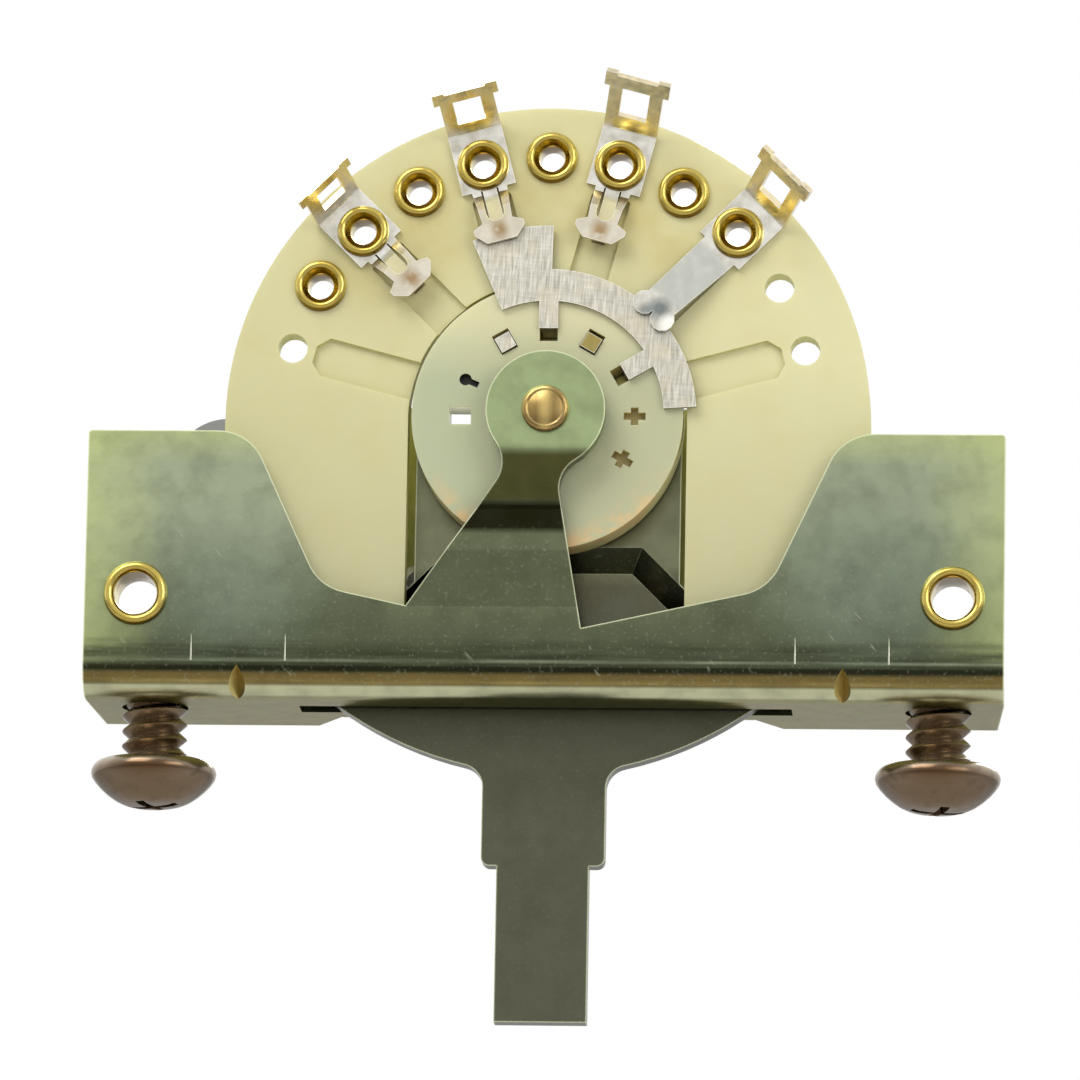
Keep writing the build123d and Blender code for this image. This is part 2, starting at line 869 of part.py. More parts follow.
# Raised head with a sloping step along its lower edge
with BuildPart() as raised:
    with BuildSketch(Plane(origin=(0, head_front, pivot_height), x_dir=(-1, 0, 0), z_dir=(0, 1, 0))):
        with BuildLine():
            Polyline(
                (-step_half_width, -step_line),
                (step_half_width, -step_line),
                (step_edge, -step_line - step_edge + step_half_width),
                (step_edge, fan_radius),
                (-step_edge, fan_radius),
                (-step_edge, -step_line - step_edge + step_half_width),
                close=True,
            )
        make_face()
    extrude(amount=lever_step, taper=-math.degrees(math.atan2(step_run, lever_step)))

with BuildPart() as head_plate:
    add(raised.part)
    with BuildSketch(round_pivot(lever_front)):
        add(lever_outline.sketch)
    extrude(amount=lever_step, mode=Mode.INTERSECT)

with BuildPart() as lever:
    with BuildSketch(round_pivot(lever_back)):
        add(lever_outline.sketch)
    extrude(amount=lever_thickness)
    add(head_plate.part)
    with Locations((0, lever_thickness, 0)):
        add(raised.part, mode=Mode.SUBTRACT)
    # Index dents on the back of the fan
    dent = [(0, dent_radius), (dent_depth, dent_floor)]
    for angle in (-travel, 0, travel):
        across, down = place(180 + angle, index_circle)
        pit = turned(facing(lever_back), dent, small_sides)
        with Locations((across, 0, pivot_height + down)):
            add(pit, mode=Mode.SUBTRACT)

# Pivot rivet through arm, rotor and lever, and the washer under its back head
rivet_rings = [
    (-rivet_back, rivet_back_radius),
    (-washer_back, rivet_back_radius),
    (-washer_back, pivot_radius),
    (-arm_front, pivot_radius),
    (-arm_front, rivet_head_radius),
    (-arm_front + rivet_head_height * 0.6, rivet_head_radius * 0.9),
    (-arm_front + rivet_head_height, rivet_head_radius * 0.6),
]
with BuildPart() as pivot_rivet:
    add(turned(round_pivot(0), rivet_rings, round_sides))

with BuildPart() as pivot_washer:
    with BuildSketch(round_pivot(washer_back)):
        RegularPolygon(washer_radius, round_sides)
        RegularPolygon(pivot_radius + pivot_clearance, round_sides, mode=Mode.SUBTRACT)
    extrude(amount=washer_thickness)

# Index ball in its wall hole, and the leaf spring riveted behind it
ball_angles = [-75, -45, -15, 15, 45, 75]
ball_rings = [
    (ball_radius * math.sin(math.radians(a)), ball_radius * math.cos(math.radians(a)))
    for a in ball_angles
]
with BuildPart() as index_ball:
    add(turned(Plane(origin=(0, ball_y, ball_z), z_dir=(0, -1, 0)), ball_rings, round_sides))

with BuildPart() as index_spring:
    with BuildSketch(facing(spring_back)):
        with Locations((0, ball_z)):
            Circle(spring_tip_radius)
        with Locations((spring_end_x, spring_end_z)):
            Circle(spring_end_radius)
        make_hull()
        with Locations((spring_rivet_x, spring_rivet_z)):
            RegularPolygon(spring_rivet_radius + screw_fit, small_sides, mode=Mode.SUBTRACT)
    extrude(amount=spring_thickness)
    # Boss that presses on the ball
    boss = wall_back - ball_y - ball_radius - ball_fit
    boss_rings = [(0, spring_dimple_radius), (boss, spring_dimple_radius / 2)]
    add(turned(Plane(origin=(0, wall_back, ball_z), z_dir=(0, -1, 0)), boss_rings, small_sides))

spring_rivet_rings = [
    (-spring_back - spring_rivet_head, spring_rivet_radius),
    (-spring_back, spring_rivet_radius + spring_rivet_head),
    (-spring_back, spring_rivet_radius),
    (-wall_front, spring_rivet_radius),
    (-wall_front, spring_rivet_radius + spring_rivet_head),
    (-wall_front + spring_rivet_head, spring_rivet_radius),
]
with BuildPart() as index_spring_rivet:
    rivet_axis = Plane(
        origin=(spring_rivet_x, 0, spring_rivet_z), x_dir=(1, 0, 0), z_dir=(0, -1, 0)
    )
    add(turned(rivet_axis, spring_rivet_rings, small_sides))

pieces = {
    "frame": frame.part,
    "wafer": wafer.part,
    "rotor": rotor.part,
    "front_blade": contact_blade(1, 0, front_tabs),
    "rear_blade": contact_blade(-1, rear_blade_shift, rear_tabs),
    "front_common": contact_clip(*front_common_place, 1, common=True),
    "rear_common": contact_clip(*rear_common_place, -1, common=True),
    "frame_eyelet_left": frame_eyelet(-frame_eyelet_x),
    "frame_eyelet_right": frame_eyelet(frame_eyelet_x),
    "pivot_rivet": pivot_rivet.part,
    "pivot_washer": pivot_washer.part,
    "lever": lever.part,
    "index_ball": index_ball.part,
    "index_spring": index_spring.part,
    "index_spring_rivet": index_spring_rivet.part,
    "mounting_screw_left": mounting_screw(-screw_spacing / 2, screw_turns[0]),
    "mounting_screw_right": mounting_screw(screw_spacing / 2, screw_turns[1]),
}
for name, clip_place in front_clips.items():
    pieces["front_terminal_" + name] = contact_clip(*clip_place, 1)
for name, clip_place in rear_clips.items():
    pieces["rear_terminal_" + name] = contact_clip(*clip_place, -1)
for number, angle in enumerate(sorted(front_angles + rear_angles), start=1):
    pieces[f"wafer_eyelet_{number}"] = wafer_eyelet(angle)

os.makedirs("parts", exist_ok=True)
for name, piece in pieces.items():
    piece.label = name
    export_step(piece, f"parts/{name}.step")
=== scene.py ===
"""Dress and light an open wafer lever selector switch.

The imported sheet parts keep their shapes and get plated, moulded and laminated
finishes.  The turned and rolled hardware is rebuilt smooth, with a real thread
on each mounting screw, and the flange gets its small score marks.
"""

import logging
import math
from dataclasses import dataclass
from enum import Enum
from functools import cached_property
from typing import Any, Callable, Dict, Iterable, List, Sequence, Tuple
import bpy
from mathutils import Matrix, Vector


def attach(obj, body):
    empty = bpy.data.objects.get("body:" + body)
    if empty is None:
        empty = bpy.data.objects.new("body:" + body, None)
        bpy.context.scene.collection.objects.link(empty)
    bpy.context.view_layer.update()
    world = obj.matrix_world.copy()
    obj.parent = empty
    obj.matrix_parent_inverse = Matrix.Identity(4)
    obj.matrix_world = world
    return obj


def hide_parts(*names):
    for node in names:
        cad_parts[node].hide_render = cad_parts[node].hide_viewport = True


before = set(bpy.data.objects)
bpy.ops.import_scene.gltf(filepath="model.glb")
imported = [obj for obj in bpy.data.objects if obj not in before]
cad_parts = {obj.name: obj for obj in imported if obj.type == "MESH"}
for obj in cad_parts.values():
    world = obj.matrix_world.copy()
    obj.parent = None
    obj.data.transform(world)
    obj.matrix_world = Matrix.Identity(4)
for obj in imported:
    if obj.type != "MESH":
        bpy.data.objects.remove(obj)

LOG = logging.getLogger("selector_switch")
Piece = bpy.types.Object
Material = bpy.types.Material
MM = 0.001
PIVOT_Z = 15.1
FLANGE_FACE = -4.4
WAFER_FRONT = -3.4
WAFER_BACK = -1.9
CLIP_SHEET = 0.3
SCREW_X = 20.64
FRAME_EYELET = (21.4, 5.3)
EYELET_RADIUS = 14.0
EYELET_TURNS = range(-60, 60, 15)
Rgba = Tuple[float, float, float, float]
Stop = Tuple[float, Rgba]
Span = Tuple[float, float]
Ring = Tuple[float, float]
Point = Tuple[float, float, float]


class Body(Enum):
    """Bodies that new pieces ride on."""

    BASE = "base"


class Facing(Enum):
    """Axis that a turned piece is turned round, as the way its top points."""

    FRONT = (math.pi / 2, 0.0, 0.0)
    UP = (0.0, 0.0, 0.0)


def tone(red: int, green: int, blue: int) -> Rgba:
    """Turn a colour as it looks on a screen into shader values.

    Args:
        red, green, blue: Channels from 0 to 255.

    Returns:
        Linear red, green and blue, and a full alpha.
    """

    def linear(value: int) -> float:
        """Undo the screen curve for one channel."""
        part = value / 255.0
        return part / 12.92 if part <= 0.04045 else ((part + 0.055) / 1.055) ** 2.4

    return (linear(red), linear(green), linear(blue), 1.0)


@dataclass(frozen=True)
class Grain:
    """Noise with grains of a size in millimetres and a number of finer layers.

    Its low level counts as 0 and its high one as 1.  Long says how many times
    longer the grains are along each axis, and turn their degrees about Y.
    """

    size: float
    detail: float = 3.0
    low: float = 0.0
    high: float = 1.0
    long: Point = (1.0, 1.0, 1.0)
    turn: float = 0.0


@dataclass(frozen=True)
class Fade:
    """A colour that comes in as a value goes from start to full."""

    start: float
    full: float
    colour: Rgba
    share: float = 1.0


@dataclass(frozen=True)
class Stripe:
    """A stripe of colour between two values, with edges of a soft width."""

    low: float
    high: float
    soft: float
    colour: Rgba
    share: float = 1.0


@dataclass(frozen=True)
class Spot:
    """A round spot of colour on the front, in millimetres."""

    x: float
    z: float
    size: float
    soft: float
    colour: Rgba
    share: float = 1.0


class Coat:
    """One material with its shader, and short ways to add nodes to it."""

    MIX_UNDER = 6
    MIX_OVER = 7
    MIX_RESULT = 2
    SHARP_DOT = (0.985, 0.93)

    def __init__(self, name: str) -> None:
        """Start an empty material with a name."""
        self.material = bpy.data.materials.new(name)
        self.material.use_nodes = True
        self.tree = self.material.node_tree
        self.shader = self.tree.nodes["Principled BSDF"]
        self.place = self.add("TexCoord", {}).outputs
        self.facing = self.add("SeparateXYZ", {0: self.place["Normal"]}).outputs
        place = self.add("SeparateXYZ", {0: self.place["Object"]}).outputs
        self.x, self.y, self.z = (self.math("DIVIDE", place[axis], MM) for axis in "XYZ")
        self.colour: Any = None

    def add(self, kind: str, inputs: Dict[Any, Any], **settings: Any) -> bpy.types.Node:
        """Add a node.

        Args:
            kind: Blender's name of the node's type, without its prefix.
            inputs: Values or outputs for its inputs.
            **settings: Attributes of the node.

        Returns:
            The new node.
        """
        node = self.tree.nodes.new("ShaderNode" + kind)
        for key, value in settings.items():
            setattr(node, key, value)
        for key, value in inputs.items():
            self.feed(node.inputs[key], value)
        return node

    def feed(self, socket: bpy.types.NodeSocket, value: Any) -> None:
        """Link a socket to an output, or set its value."""
        if isinstance(value, bpy.types.NodeSocket):
            self.tree.links.new(value, socket)
        else:
            socket.default_value = value

    def math(self, operation: str, first: Any, second: Any = 0.0) -> Any:
        """Add a math node and return its output."""
        return self.add("Math", {0: first, 1: second}, operation=operation).outputs[0]

    def times(self, *values: Any) -> Any:
        """Multiply several values and return the output."""
        total = values[0]
        for value in values[1:]:
            total = self.math("MULTIPLY", total, value)
        return total

    def far(self, first: Any, second: Any) -> Any:
        """Return the length of two steps at a right angle."""
        squares = self.math("ADD", self.times(first, first), self.times(second, second))
        return self.math("SQRT", squares)

    @cached_property
    def radius(self) -> Any:
        """Distance from the pivot's axis in millimetres."""
        return self.far(self.math("SUBTRACT", self.z, PIVOT_Z), self.x)

    @cached_property
    def angle(self) -> Any:
        """Angle round the pivot in degrees, 0 straight up."""
        up = self.math("SUBTRACT", self.z, PIVOT_Z)
        return self.math("DEGREES", self.math("ARCTAN2", self.x, up))

    def ramp(self, value: Any, low: float, high: float) -> Any:
        """Return 0 at low, 1 at high and a straight slope between."""
        inputs = {"Value": value, "From Min": low, "From Max": high}
        return self.add("MapRange", inputs, clamp=True).outputs["Result"]

    def band(self, value: Any, low: float, high: float, soft: float) -> Any:
        """Return 1 between low and high, fading to 0 over a soft edge."""
        rise = self.ramp(value, low - soft / 2, low + soft / 2)
        fall = self.ramp(value, high + soft / 2, high - soft / 2)
        return self.times(rise, fall)

    def noise(self, grain: Grain) -> Any:
        """Return the noise that a grain describes."""
        turn = (0.0, math.radians(grain.turn), 0.0)
        stretch = {"Vector": self.place["Object"], "Rotation": turn, "Scale": grain.long}
        place = self.add("Mapping", stretch, vector_type="TEXTURE").outputs["Vector"]
        grains = {"Vector": place, "Scale": 1.0 / (grain.size * MM), "Detail": grain.detail}
        return self.ramp(self.add("TexNoise", grains).outputs["Fac"], grain.low, grain.high)

    def drift(self, value: Any, grain: Grain, reach: float) -> Any:
        """Return a value that noise pushes up by as much as a reach."""
        return self.math("ADD", value, self.times(self.noise(grain), reach))

    def edges(self, width: float) -> Any:
        """Return 1 along sharp edges of a width in millimetres, 0 on flat faces."""
        rounded = self.add("Bevel", {"Radius": width * MM}, samples=6)
        flat = self.add("NewGeometry", {})
        normals = {0: rounded.outputs["Normal"], 1: flat.outputs["Normal"]}
        match = self.add("VectorMath", normals, operation="DOT_PRODUCT")
        return self.ramp(match.outputs["Value"], *self.SHARP_DOT)

    def colours(self, value: Any, *stops: Stop) -> None:
        """Start with a colour that runs through stops as a value goes from 0 to 1."""
        node = self.add("ValToRGB", {"Fac": value})
        strip = node.color_ramp.elements
        strip[0].position, strip[0].color = stops[0]
        strip[1].position, strip[1].color = stops[-1]
        for position, colour in stops[1:-1]:
            strip.new(position).color = colour
        self.colour = node.outputs["Color"]

    def paint(self, colour: Any, *shares: Any) -> None:
        """Cover the colour so far with another one, by all the shares multiplied."""
        share = self.times(*shares)
        layers = {"Factor": share, self.MIX_UNDER: self.colour, self.MIX_OVER: colour}
        node = self.add("Mix", layers, data_type="RGBA", clamp_factor=True)
        self.colour = node.outputs[self.MIX_RESULT]

    def fade(self, value: Any, layer: Fade, *shares: Any) -> None:
        """Paint a colour that comes in as a value grows or falls."""
        self.paint(layer.colour, self.ramp(value, layer.start, layer.full), *shares, layer.share)

    def stripe(self, value: Any, layer: Stripe, *shares: Any) -> None:
        """Paint a stripe of colour between two values."""
        band = self.band(value, layer.low, layer.high, layer.soft)
        self.paint(layer.colour, band, *shares, layer.share)

    def spots(self, layers: Sequence[Spot]) -> None:
        """Paint round spots on the front."""
        for spot in layers:
            across = self.math("SUBTRACT", self.x, spot.x)
            far = self.far(self.math("SUBTRACT", self.z, spot.z), across)
            self.paint(spot.colour, self.ramp(far, spot.size + spot.soft, spot.size), spot.share)

    def milky(self, weight: float, reach: Point) -> None:
        """Let a share of the light in, as far as a reach for each colour."""
        for name, value in (("Weight", weight), ("Radius", reach), ("Scale", MM)):
            self.shader.inputs["Subsurface " + name].default_value = value

    def bump(self, height: Any, depth: float) -> None:
        """Give the shader a relief, from a height of 0 to 1 and its depth in millimetres."""
        node = self.add("Bump", {"Strength": 1.0, "Distance": depth * MM, "Height": height})
        self.feed(self.shader.inputs["Normal"], node.outputs["Normal"])

    def finish(self, metal: float, roughness: Any) -> Material:
        """Set the last values and return the material.

        Args:
            metal: 1 for metal and 0 for anything else.
            roughness: Roughness value or output.
        """
        looks = {"Base Color": self.colour, "Metallic": metal, "Roughness": roughness}
        for name, value in looks.items():
            self.feed(self.shader.inputs[name], value)
        return self.material


@dataclass(frozen=True)
class Plating:
    """Olive plating on stamped steel, shared by the frame and the lever."""

    name: str
    flat: Rgba
    dark: Rgba
    fleck: Rgba
    # Colour and width of the painted highlight along sharp edges.
    rim: Rgba
    highlight_width: float
    fleck_share: float = 0.25
    fleck_top: Span = (9.4, 7.6)
    cloud: Grain = Grain(1.3, 5.0, 0.42, 0.8)
    specks: Grain = Grain(0.2, 3.0, 0.58, 0.76)
    rubs: Grain = Grain(0.3, 1.0, 0.72, 0.78, (5.0, 1.0, 1.0), 52.0)
    rubbed: Grain = Grain(6.0, 3.0, 0.5, 0.6)
    roughness: float = 0.23

    def tint(self, coat: Coat) -> None:
        """Lay the part's painted light and shade under the wear."""

    def sharp(self, coat: Coat) -> Any:
        """Return how much of each edge gets the painted highlight."""
        return coat.times(coat.edges(self.highlight_width), 0.95)

    def make(self) -> Material:
        """Build the material."""
        coat = Coat(self.name)
        coat.colour = self.flat
        self.tint(coat)
        coat.paint(self.dark, coat.noise(self.cloud), 0.3)
        below = coat.ramp(coat.z, *self.fleck_top)
        coat.paint(self.fleck, coat.noise(self.specks), below, self.fleck_share)
        coat.paint(self.fleck, coat.noise(self.rubs), coat.noise(self.rubbed), 0.4)
        # Painted highlight along the sharp edges.
        coat.paint(self.rim, self.sharp(coat))
        coat.bump(coat.noise(Grain(0.4)), 0.008)
        return coat.finish(1.0, coat.drift(self.roughness, Grain(0.9, 4.0), 0.14))


@dataclass(frozen=True)
class FramePlating(Plating):
    """Plating of the folded frame, with painted light and shade on its ears, arm and bends.

    Spans, fades and stripes are in millimetres; those of the bend run with the
    fall of a face, from 0 for an upright one to 1 for one that looks down.
    """

    # Painted light: the ears grow lighter upward and outward, with bluish-grey middles.
    ear: Rgba = tone(150, 158, 130)
    ear_rise: Span = (4.5, 10.5)
    ear_reach: Span = (8.5, 14.0)
    ear_cores: Tuple[Spot, ...] = (
        Spot(17.0, 6.5, 1.5, 5.0, tone(118, 130, 112), 0.7),
        Spot(-16.5, 5.5, 1.0, 4.5, tone(118, 130, 112), 0.6),
    )
    # Painted light at the ears' outer ends and along their tops.
    ear_end: Fade = Fade(21.5, 26.0, tone(176, 186, 128), 0.75)
    end_rise: Span = (2.0, 4.0)
    ear_top: Fade = Fade(12.3, 13.8, tone(176, 186, 128), 0.6)
    top_reach: Span = (9.0, 14.0)
    # Painted reflection of the cream wafer on the front of the index wall.
    wall: Stripe = Stripe(6.2, 9.0, 0.4, tone(176, 176, 100))
    wall_depth: Span = (1.5, 2.5)
    wall_rise: Span = (1.5, 5.0)
    flange_depth: Span = (-2.0, -3.0)
    arm_reach: Span = (9.0, 8.0)
    # Painted light and shade in bands up the bent arm: lighter shin and head, darker neck, black
    # belt.
    shin: Stripe = Stripe(4.0, 9.0, 1.5, tone(99, 105, 79))
    head: Fade = Fade(12.4, 13.0, tone(150, 164, 119))
    neck: Stripe = Stripe(10.3, 12.8, 0.4, tone(87, 87, 50))
    belt: Stripe = Stripe(8.7, 10.2, 0.35, tone(30, 30, 16))
    # Painted shade low on the flange, a painted shade stripe, and a painted glint line at the
    # bend's top.
    low: Span = (3.1, 2.1)
    shade: Stripe = Stripe(2.2, 2.75, 0.5, tone(58, 62, 44), 0.5)
    glint: Stripe = Stripe(1.72, 1.86, 0.12, tone(150, 158, 130), 0.7)
    # Painted shade, reflections and a gleam on the front bend and the web's underside, by how far
    # a face looks down.
    foot: Span = (2.2, 2.0)
    bend_top: Stripe = Stripe(0.1, 0.3, 0.06, tone(30, 30, 16), 0.75)
    bend: Stripe = Stripe(0.3, 0.66, 0.14, tone(112, 96, 55))
    gleam: Stripe = Stripe(0.52, 0.66, 0.1, tone(214, 196, 124), 0.2)
    bend_foot: Stripe = Stripe(0.68, 0.965, 0.08, tone(176, 176, 142))
    under: Fade = Fade(0.96, 0.99, tone(134, 128, 68))
    # Painted light on each dent's wall that faces right, painted shade on the one that faces
    # left.
    dent_reach: Point = (14.8, 17.0, 0.1)
    dent_fall: Span = (0.1, 0.2)
    dent_lit: Fade = Fade(0.08, 0.3, tone(214, 196, 124))
    dent_dim: Fade = Fade(-0.08, -0.3, tone(112, 96, 55), 0.6)
    # Where the painted edge highlight is kept: above the bend, and at the sheet's ends.
    highlight_rise: Span = (1.9, 2.0)
    highlight_ends: Span = (23.5, 23.7)
    swell: Grain = Grain(5.0, 2.0)
    sway: Grain = Grain(3.0, 2.0)
    streaks: Grain = Grain(0.35, 2.0, 0.3, 0.7, (14.0, 1.0, 1.0))

    def sharp(self, coat: Coat) -> Any:
        """Return the painted edge highlight, without that of the pressed stiffeners."""
        high = coat.ramp(coat.z, *self.highlight_rise)
        ends = coat.ramp(coat.math("ABSOLUTE", coat.x), *self.highlight_ends)
        return coat.times(super().sharp(coat), coat.math("MAXIMUM", high, ends))

    def tint(self, coat: Coat) -> None:
        """Paint light and shade on ears, arm and bends by place and by the way they face."""
        out = coat.math("ABSOLUTE", coat.x)
        flange = coat.ramp(coat.y, *self.flange_depth)
        streaks = coat.noise(self.streaks)
        self.shade_ears(coat, out)
        # Painted light and shade in bands up the arm.
        arm = coat.times(coat.ramp(out, *self.arm_reach), flange)
        coat.stripe(coat.z, self.shin, arm)
        coat.fade(coat.z, self.head, arm)
        coat.stripe(coat.z, self.neck, arm)
        coat.stripe(coat.z, self.belt, arm)
        # Painted shade, darker towards the bottom of the flange, then a shade stripe and a glint
        # line.
        low = coat.ramp(coat.z, *self.low)
        coat.paint(self.dark, low, coat.math("ADD", streaks, 0.4), 0.6)
        coat.stripe(coat.z, self.shade, streaks, flange)
        coat.stripe(coat.z, self.glint, streaks, flange)
        self.shade_bend(coat, out, streaks)

    def shade_ears(self, coat: Coat, out: Any) -> None:
        """Paint light on the ears by height and distance out, and a reflection on the wall's
        front.
        """
        # Painted light on the ears, growing with height and distance out.
        height = coat.drift(coat.z, self.swell, 2.0)
        reach = coat.ramp(out, *self.ear_reach)
        coat.paint(self.ear, coat.ramp(height, *self.ear_rise), reach)
        # Painted reflection of the cream wafer on the front of the index wall.
        depth = coat.ramp(coat.y, *self.wall_depth)
        inner = coat.ramp(coat.facing["Y"], -0.2, -0.6)
        coat.stripe(out, self.wall, depth, inner, coat.ramp(coat.z, *self.wall_rise))
        coat.spots(self.ear_cores)
        # Painted light at the ears' ends and along their tops.
        end = coat.drift(out, self.sway, 3.0)
        coat.fade(end, self.ear_end, coat.ramp(height, *self.end_rise))
        coat.fade(coat.z, self.ear_top, coat.ramp(out, *self.top_reach))

    def shade_bend(self, coat: Coat, out: Any, streaks: Any) -> None:
        """Paint shade, reflections and light on the front bend, the web's underside and the
        pressed dents.
        """
        fall = coat.times(coat.facing["Z"], -1.0)
        foot = coat.ramp(coat.z, *self.foot)
        # Painted shade and reflections on the front bend, by the fall of each face.
        coat.stripe(fall, self.bend_top, foot)
        coat.stripe(fall, self.bend, foot)
        coat.stripe(fall, self.gleam, foot, streaks)
        coat.stripe(fall, self.bend_foot, foot)
        coat.fade(fall, self.under)
        side = coat.facing["X"]
        dent = coat.times(
            foot, coat.band(out, *self.dent_reach), coat.ramp(fall, *self.dent_fall)
        )
        # Painted light and shade on the dent's two walls.
        coat.fade(side, self.dent_lit, dent)
        coat.fade(side, self.dent_dim, dent)


@dataclass(frozen=True)
class LeverPlating(Plating):
    """Plating of the lever, with painted shade on its step and fan, and painted light on its
    head.
    """

    plate: Fade = Fade(6.5, 7.5, tone(116, 118, 92))
    # Painted shade on the down-facing step, near the web's slot and on the fan's top.
    step: Stripe = Stripe(0.2, 0.7, 0.1, tone(26, 27, 15), 0.92)
    slot: Stripe = Stripe(-1.6, 1.2, 1.8, tone(26, 27, 15), 0.2)
    fan: Fade = Fade(-6.5, -3.5, tone(26, 27, 15), 0.16)
    fan_top: Span = (0.0, -0.5)
    # Painted light on the head's front, seen through the rotor's slots.
    behind: Stripe = Stripe(4.2, 6.2, 0.3, tone(236, 222, 140))
    stain: Stripe = Stripe(2.0, 8.0, 2.0, tone(92, 78, 50), 0.4)
    stains: Grain = Grain(2.6, 3.0, 0.5, 0.7)

    def tint(self, coat: Coat) -> None:
        """Paint shade on the step, the part near the slot and the fan's top, and paint light on
        the head's front.
        """
        coat.fade(coat.z, self.plate)
        # Painted shade on the step, near the slot and on the fan's top.
        coat.stripe(coat.times(coat.facing["Z"], -1.0), self.step)
        coat.stripe(coat.z, self.slot)
        coat.fade(coat.z, self.fan, coat.ramp(coat.z, *self.fan_top))
        # Painted light on the head's front, seen through the rotor's slots.
        front = coat.ramp(coat.facing["Y"], -0.5, -0.8)
        coat.stripe(coat.radius, self.behind, front)
        coat.stripe(coat.z, self.stain, coat.noise(self.stains))


@dataclass(frozen=True)
class Laminate:
    """Cream laminate, a little translucent, with a painted golden shadow round the clips behind
    it.
    """

    name: str = "cream_laminate"
    left: Rgba = tone(193, 188, 140)
    right: Rgba = tone(208, 203, 157)
    gold: Rgba = tone(184, 168, 100)
    weave_shade: Rgba = tone(204, 202, 122)
    # Painted shade, darker towards the bottom of the legs.
    leg: Fade = Fade(18.0, 6.0, tone(184, 180, 138))
    # Painted golden shadow of the clips behind, seen through the laminate.
    crown: Stripe = Stripe(9.5, 15.0, 3.5, tone(184, 168, 100), 0.9)
    crown_arc: Point = (-55.0, 48.0, 30.0)
    edge: Fade = Fade(0.6, 0.3, tone(204, 202, 122), 0.8)
    patches: Grain = Grain(3.5, 4.0, 0.25, 0.7)
    cloud: Grain = Grain(2.2, 5.0, 0.45, 0.75)
    weave: Grain = Grain(0.25, 2.0, 0.5, 0.8, (4.0, 1.0, 1.0))

    def make(self) -> Material:
        """Build the material."""
        coat = Coat(self.name)
        lean = coat.math("ADD", coat.x, coat.times(coat.z, 0.5))
        coat.colours(coat.ramp(lean, -14.0, 26.0), (0.0, self.left), (1.0, self.right))
        # Painted shade, darker towards the bottom of the legs.
        coat.fade(coat.z, self.leg)
        # Painted golden shadow of the clips behind, seen through the laminate.
        crown = coat.band(coat.angle, *self.crown_arc)
        coat.stripe(coat.radius, self.crown, crown, coat.noise(self.patches))
        coat.paint(self.gold, coat.noise(self.cloud), 0.16)
        coat.fade(coat.math("ABSOLUTE", coat.facing["Y"]), self.edge)
        coat.paint(self.weave_shade, coat.noise(self.weave), 0.08)
        coat.milky(0.2, (1.2, 1.1, 0.6))
        coat.bump(coat.noise(Grain(0.3)), 0.005)
        return coat.finish(0.0, 0.42)


@dataclass(frozen=True)
class RotorMoulding:
    """Milky green moulding, amber light in its rim, darker slots, painted shade and light in two.
    """

    name: str = "rotor_moulding"
    milk: Rgba = tone(178, 178, 142)
    cool: Rgba = tone(172, 178, 144)
    warm: Fade = Fade(17.0, 20.5, tone(212, 206, 162), 0.8)
    edge: Fade = Fade(0.6, 0.3, tone(206, 200, 138), 0.85)
    amber: Fade = Fade(5.9, 7.0, tone(216, 178, 122), 0.85)
    amber_top: Span = (12.5, 9.5)
    pit: Rgba = tone(186, 166, 96)
    pit_depth: Span = (-3.6, -3.5)
    pit_reach: Span = (6.6, 6.4)
    # Painted shade in the keyhole slot, and painted light on the window slot's walls.
    keyhole: Stripe = Stripe(-72.0, -58.0, 2.0, tone(18, 20, 10))
    window: Stripe = Stripe(-104.0, -76.0, 2.0, tone(250, 250, 236))
    glow: Grain = Grain(0.9, 3.0, 0.38, 0.58)

    def make(self) -> Material:
        """Build the material."""
        coat = Coat(self.name)
        drift = coat.drift(coat.ramp(coat.x, -8.0, 8.0), Grain(2.5), 1.0)
        coat.colours(coat.ramp(drift, 0.5, 1.5), (0.0, self.cool), (1.0, self.milk))
        coat.fade(coat.z, self.warm)
        coat.fade(coat.math("ABSOLUTE", coat.facing["Y"]), self.edge)
        low = coat.ramp(coat.z, *self.amber_top)
        coat.fade(coat.radius, self.amber, low, coat.noise(self.glow))
        slots = coat.ramp(coat.radius, *self.pit_reach)
        deep = coat.times(coat.ramp(coat.y, *self.pit_depth), slots)
        coat.paint(self.pit, deep, 0.75)
        # Painted shade in the keyhole slot, and painted light on the window slot's walls.
        coat.stripe(coat.angle, self.keyhole, deep)
        coat.stripe(coat.angle, self.window, deep)
        coat.milky(0.35, (1.1, 1.2, 0.7))
        coat.bump(coat.noise(Grain(0.5)), 0.006)
        return coat.finish(0.0, 0.36)


@dataclass(frozen=True)
class BladeSilver:
    """Silver contact sheet with a fine upright and level brush grain."""

    name: str = "blade_silver"
    light: Rgba = tone(208, 205, 193)
    shade: Rgba = tone(164, 160, 146)
    warm: Rgba = tone(202, 190, 160)
    # Colour of the painted highlight along sharp edges.
    rim: Rgba = tone(244, 242, 228)
    rear_tab: Stripe = Stripe(20.0, 40.0, 2.0, tone(146, 130, 70), 0.95)
    tab_reach: Span = (5.3, 5.1)
    upright: Grain = Grain(0.09, 2.0, 0.3, 0.7, (1.0, 1.0, 12.0), 4.0)
    level: Grain = Grain(0.12, 2.0, 0.3, 0.7, (9.0, 1.0, 1.0), 4.0)
    upright_share: float = 0.75
    cloud: Grain = Grain(1.2, 3.0, 0.45, 0.7)

    def make(self) -> Material:
        """Build the material."""
        coat = Coat(self.name)
        upright = coat.times(coat.noise(self.upright), self.upright_share)
        weave = coat.drift(upright, self.level, 1.0 - self.upright_share)
        coat.colours(weave, (0.1, self.shade), (0.9, self.light))
        coat.paint(self.warm, coat.noise(self.cloud), 0.4)
        coat.stripe(coat.angle, self.rear_tab, coat.ramp(coat.radius, *self.tab_reach))
        # Painted highlight along sharp edges.
        coat.paint(self.rim, coat.edges(0.06), 0.8)
        coat.bump(weave, 0.003)
        return coat.finish(1.0, coat.math("ADD", coat.times(weave, 0.12), 0.3))


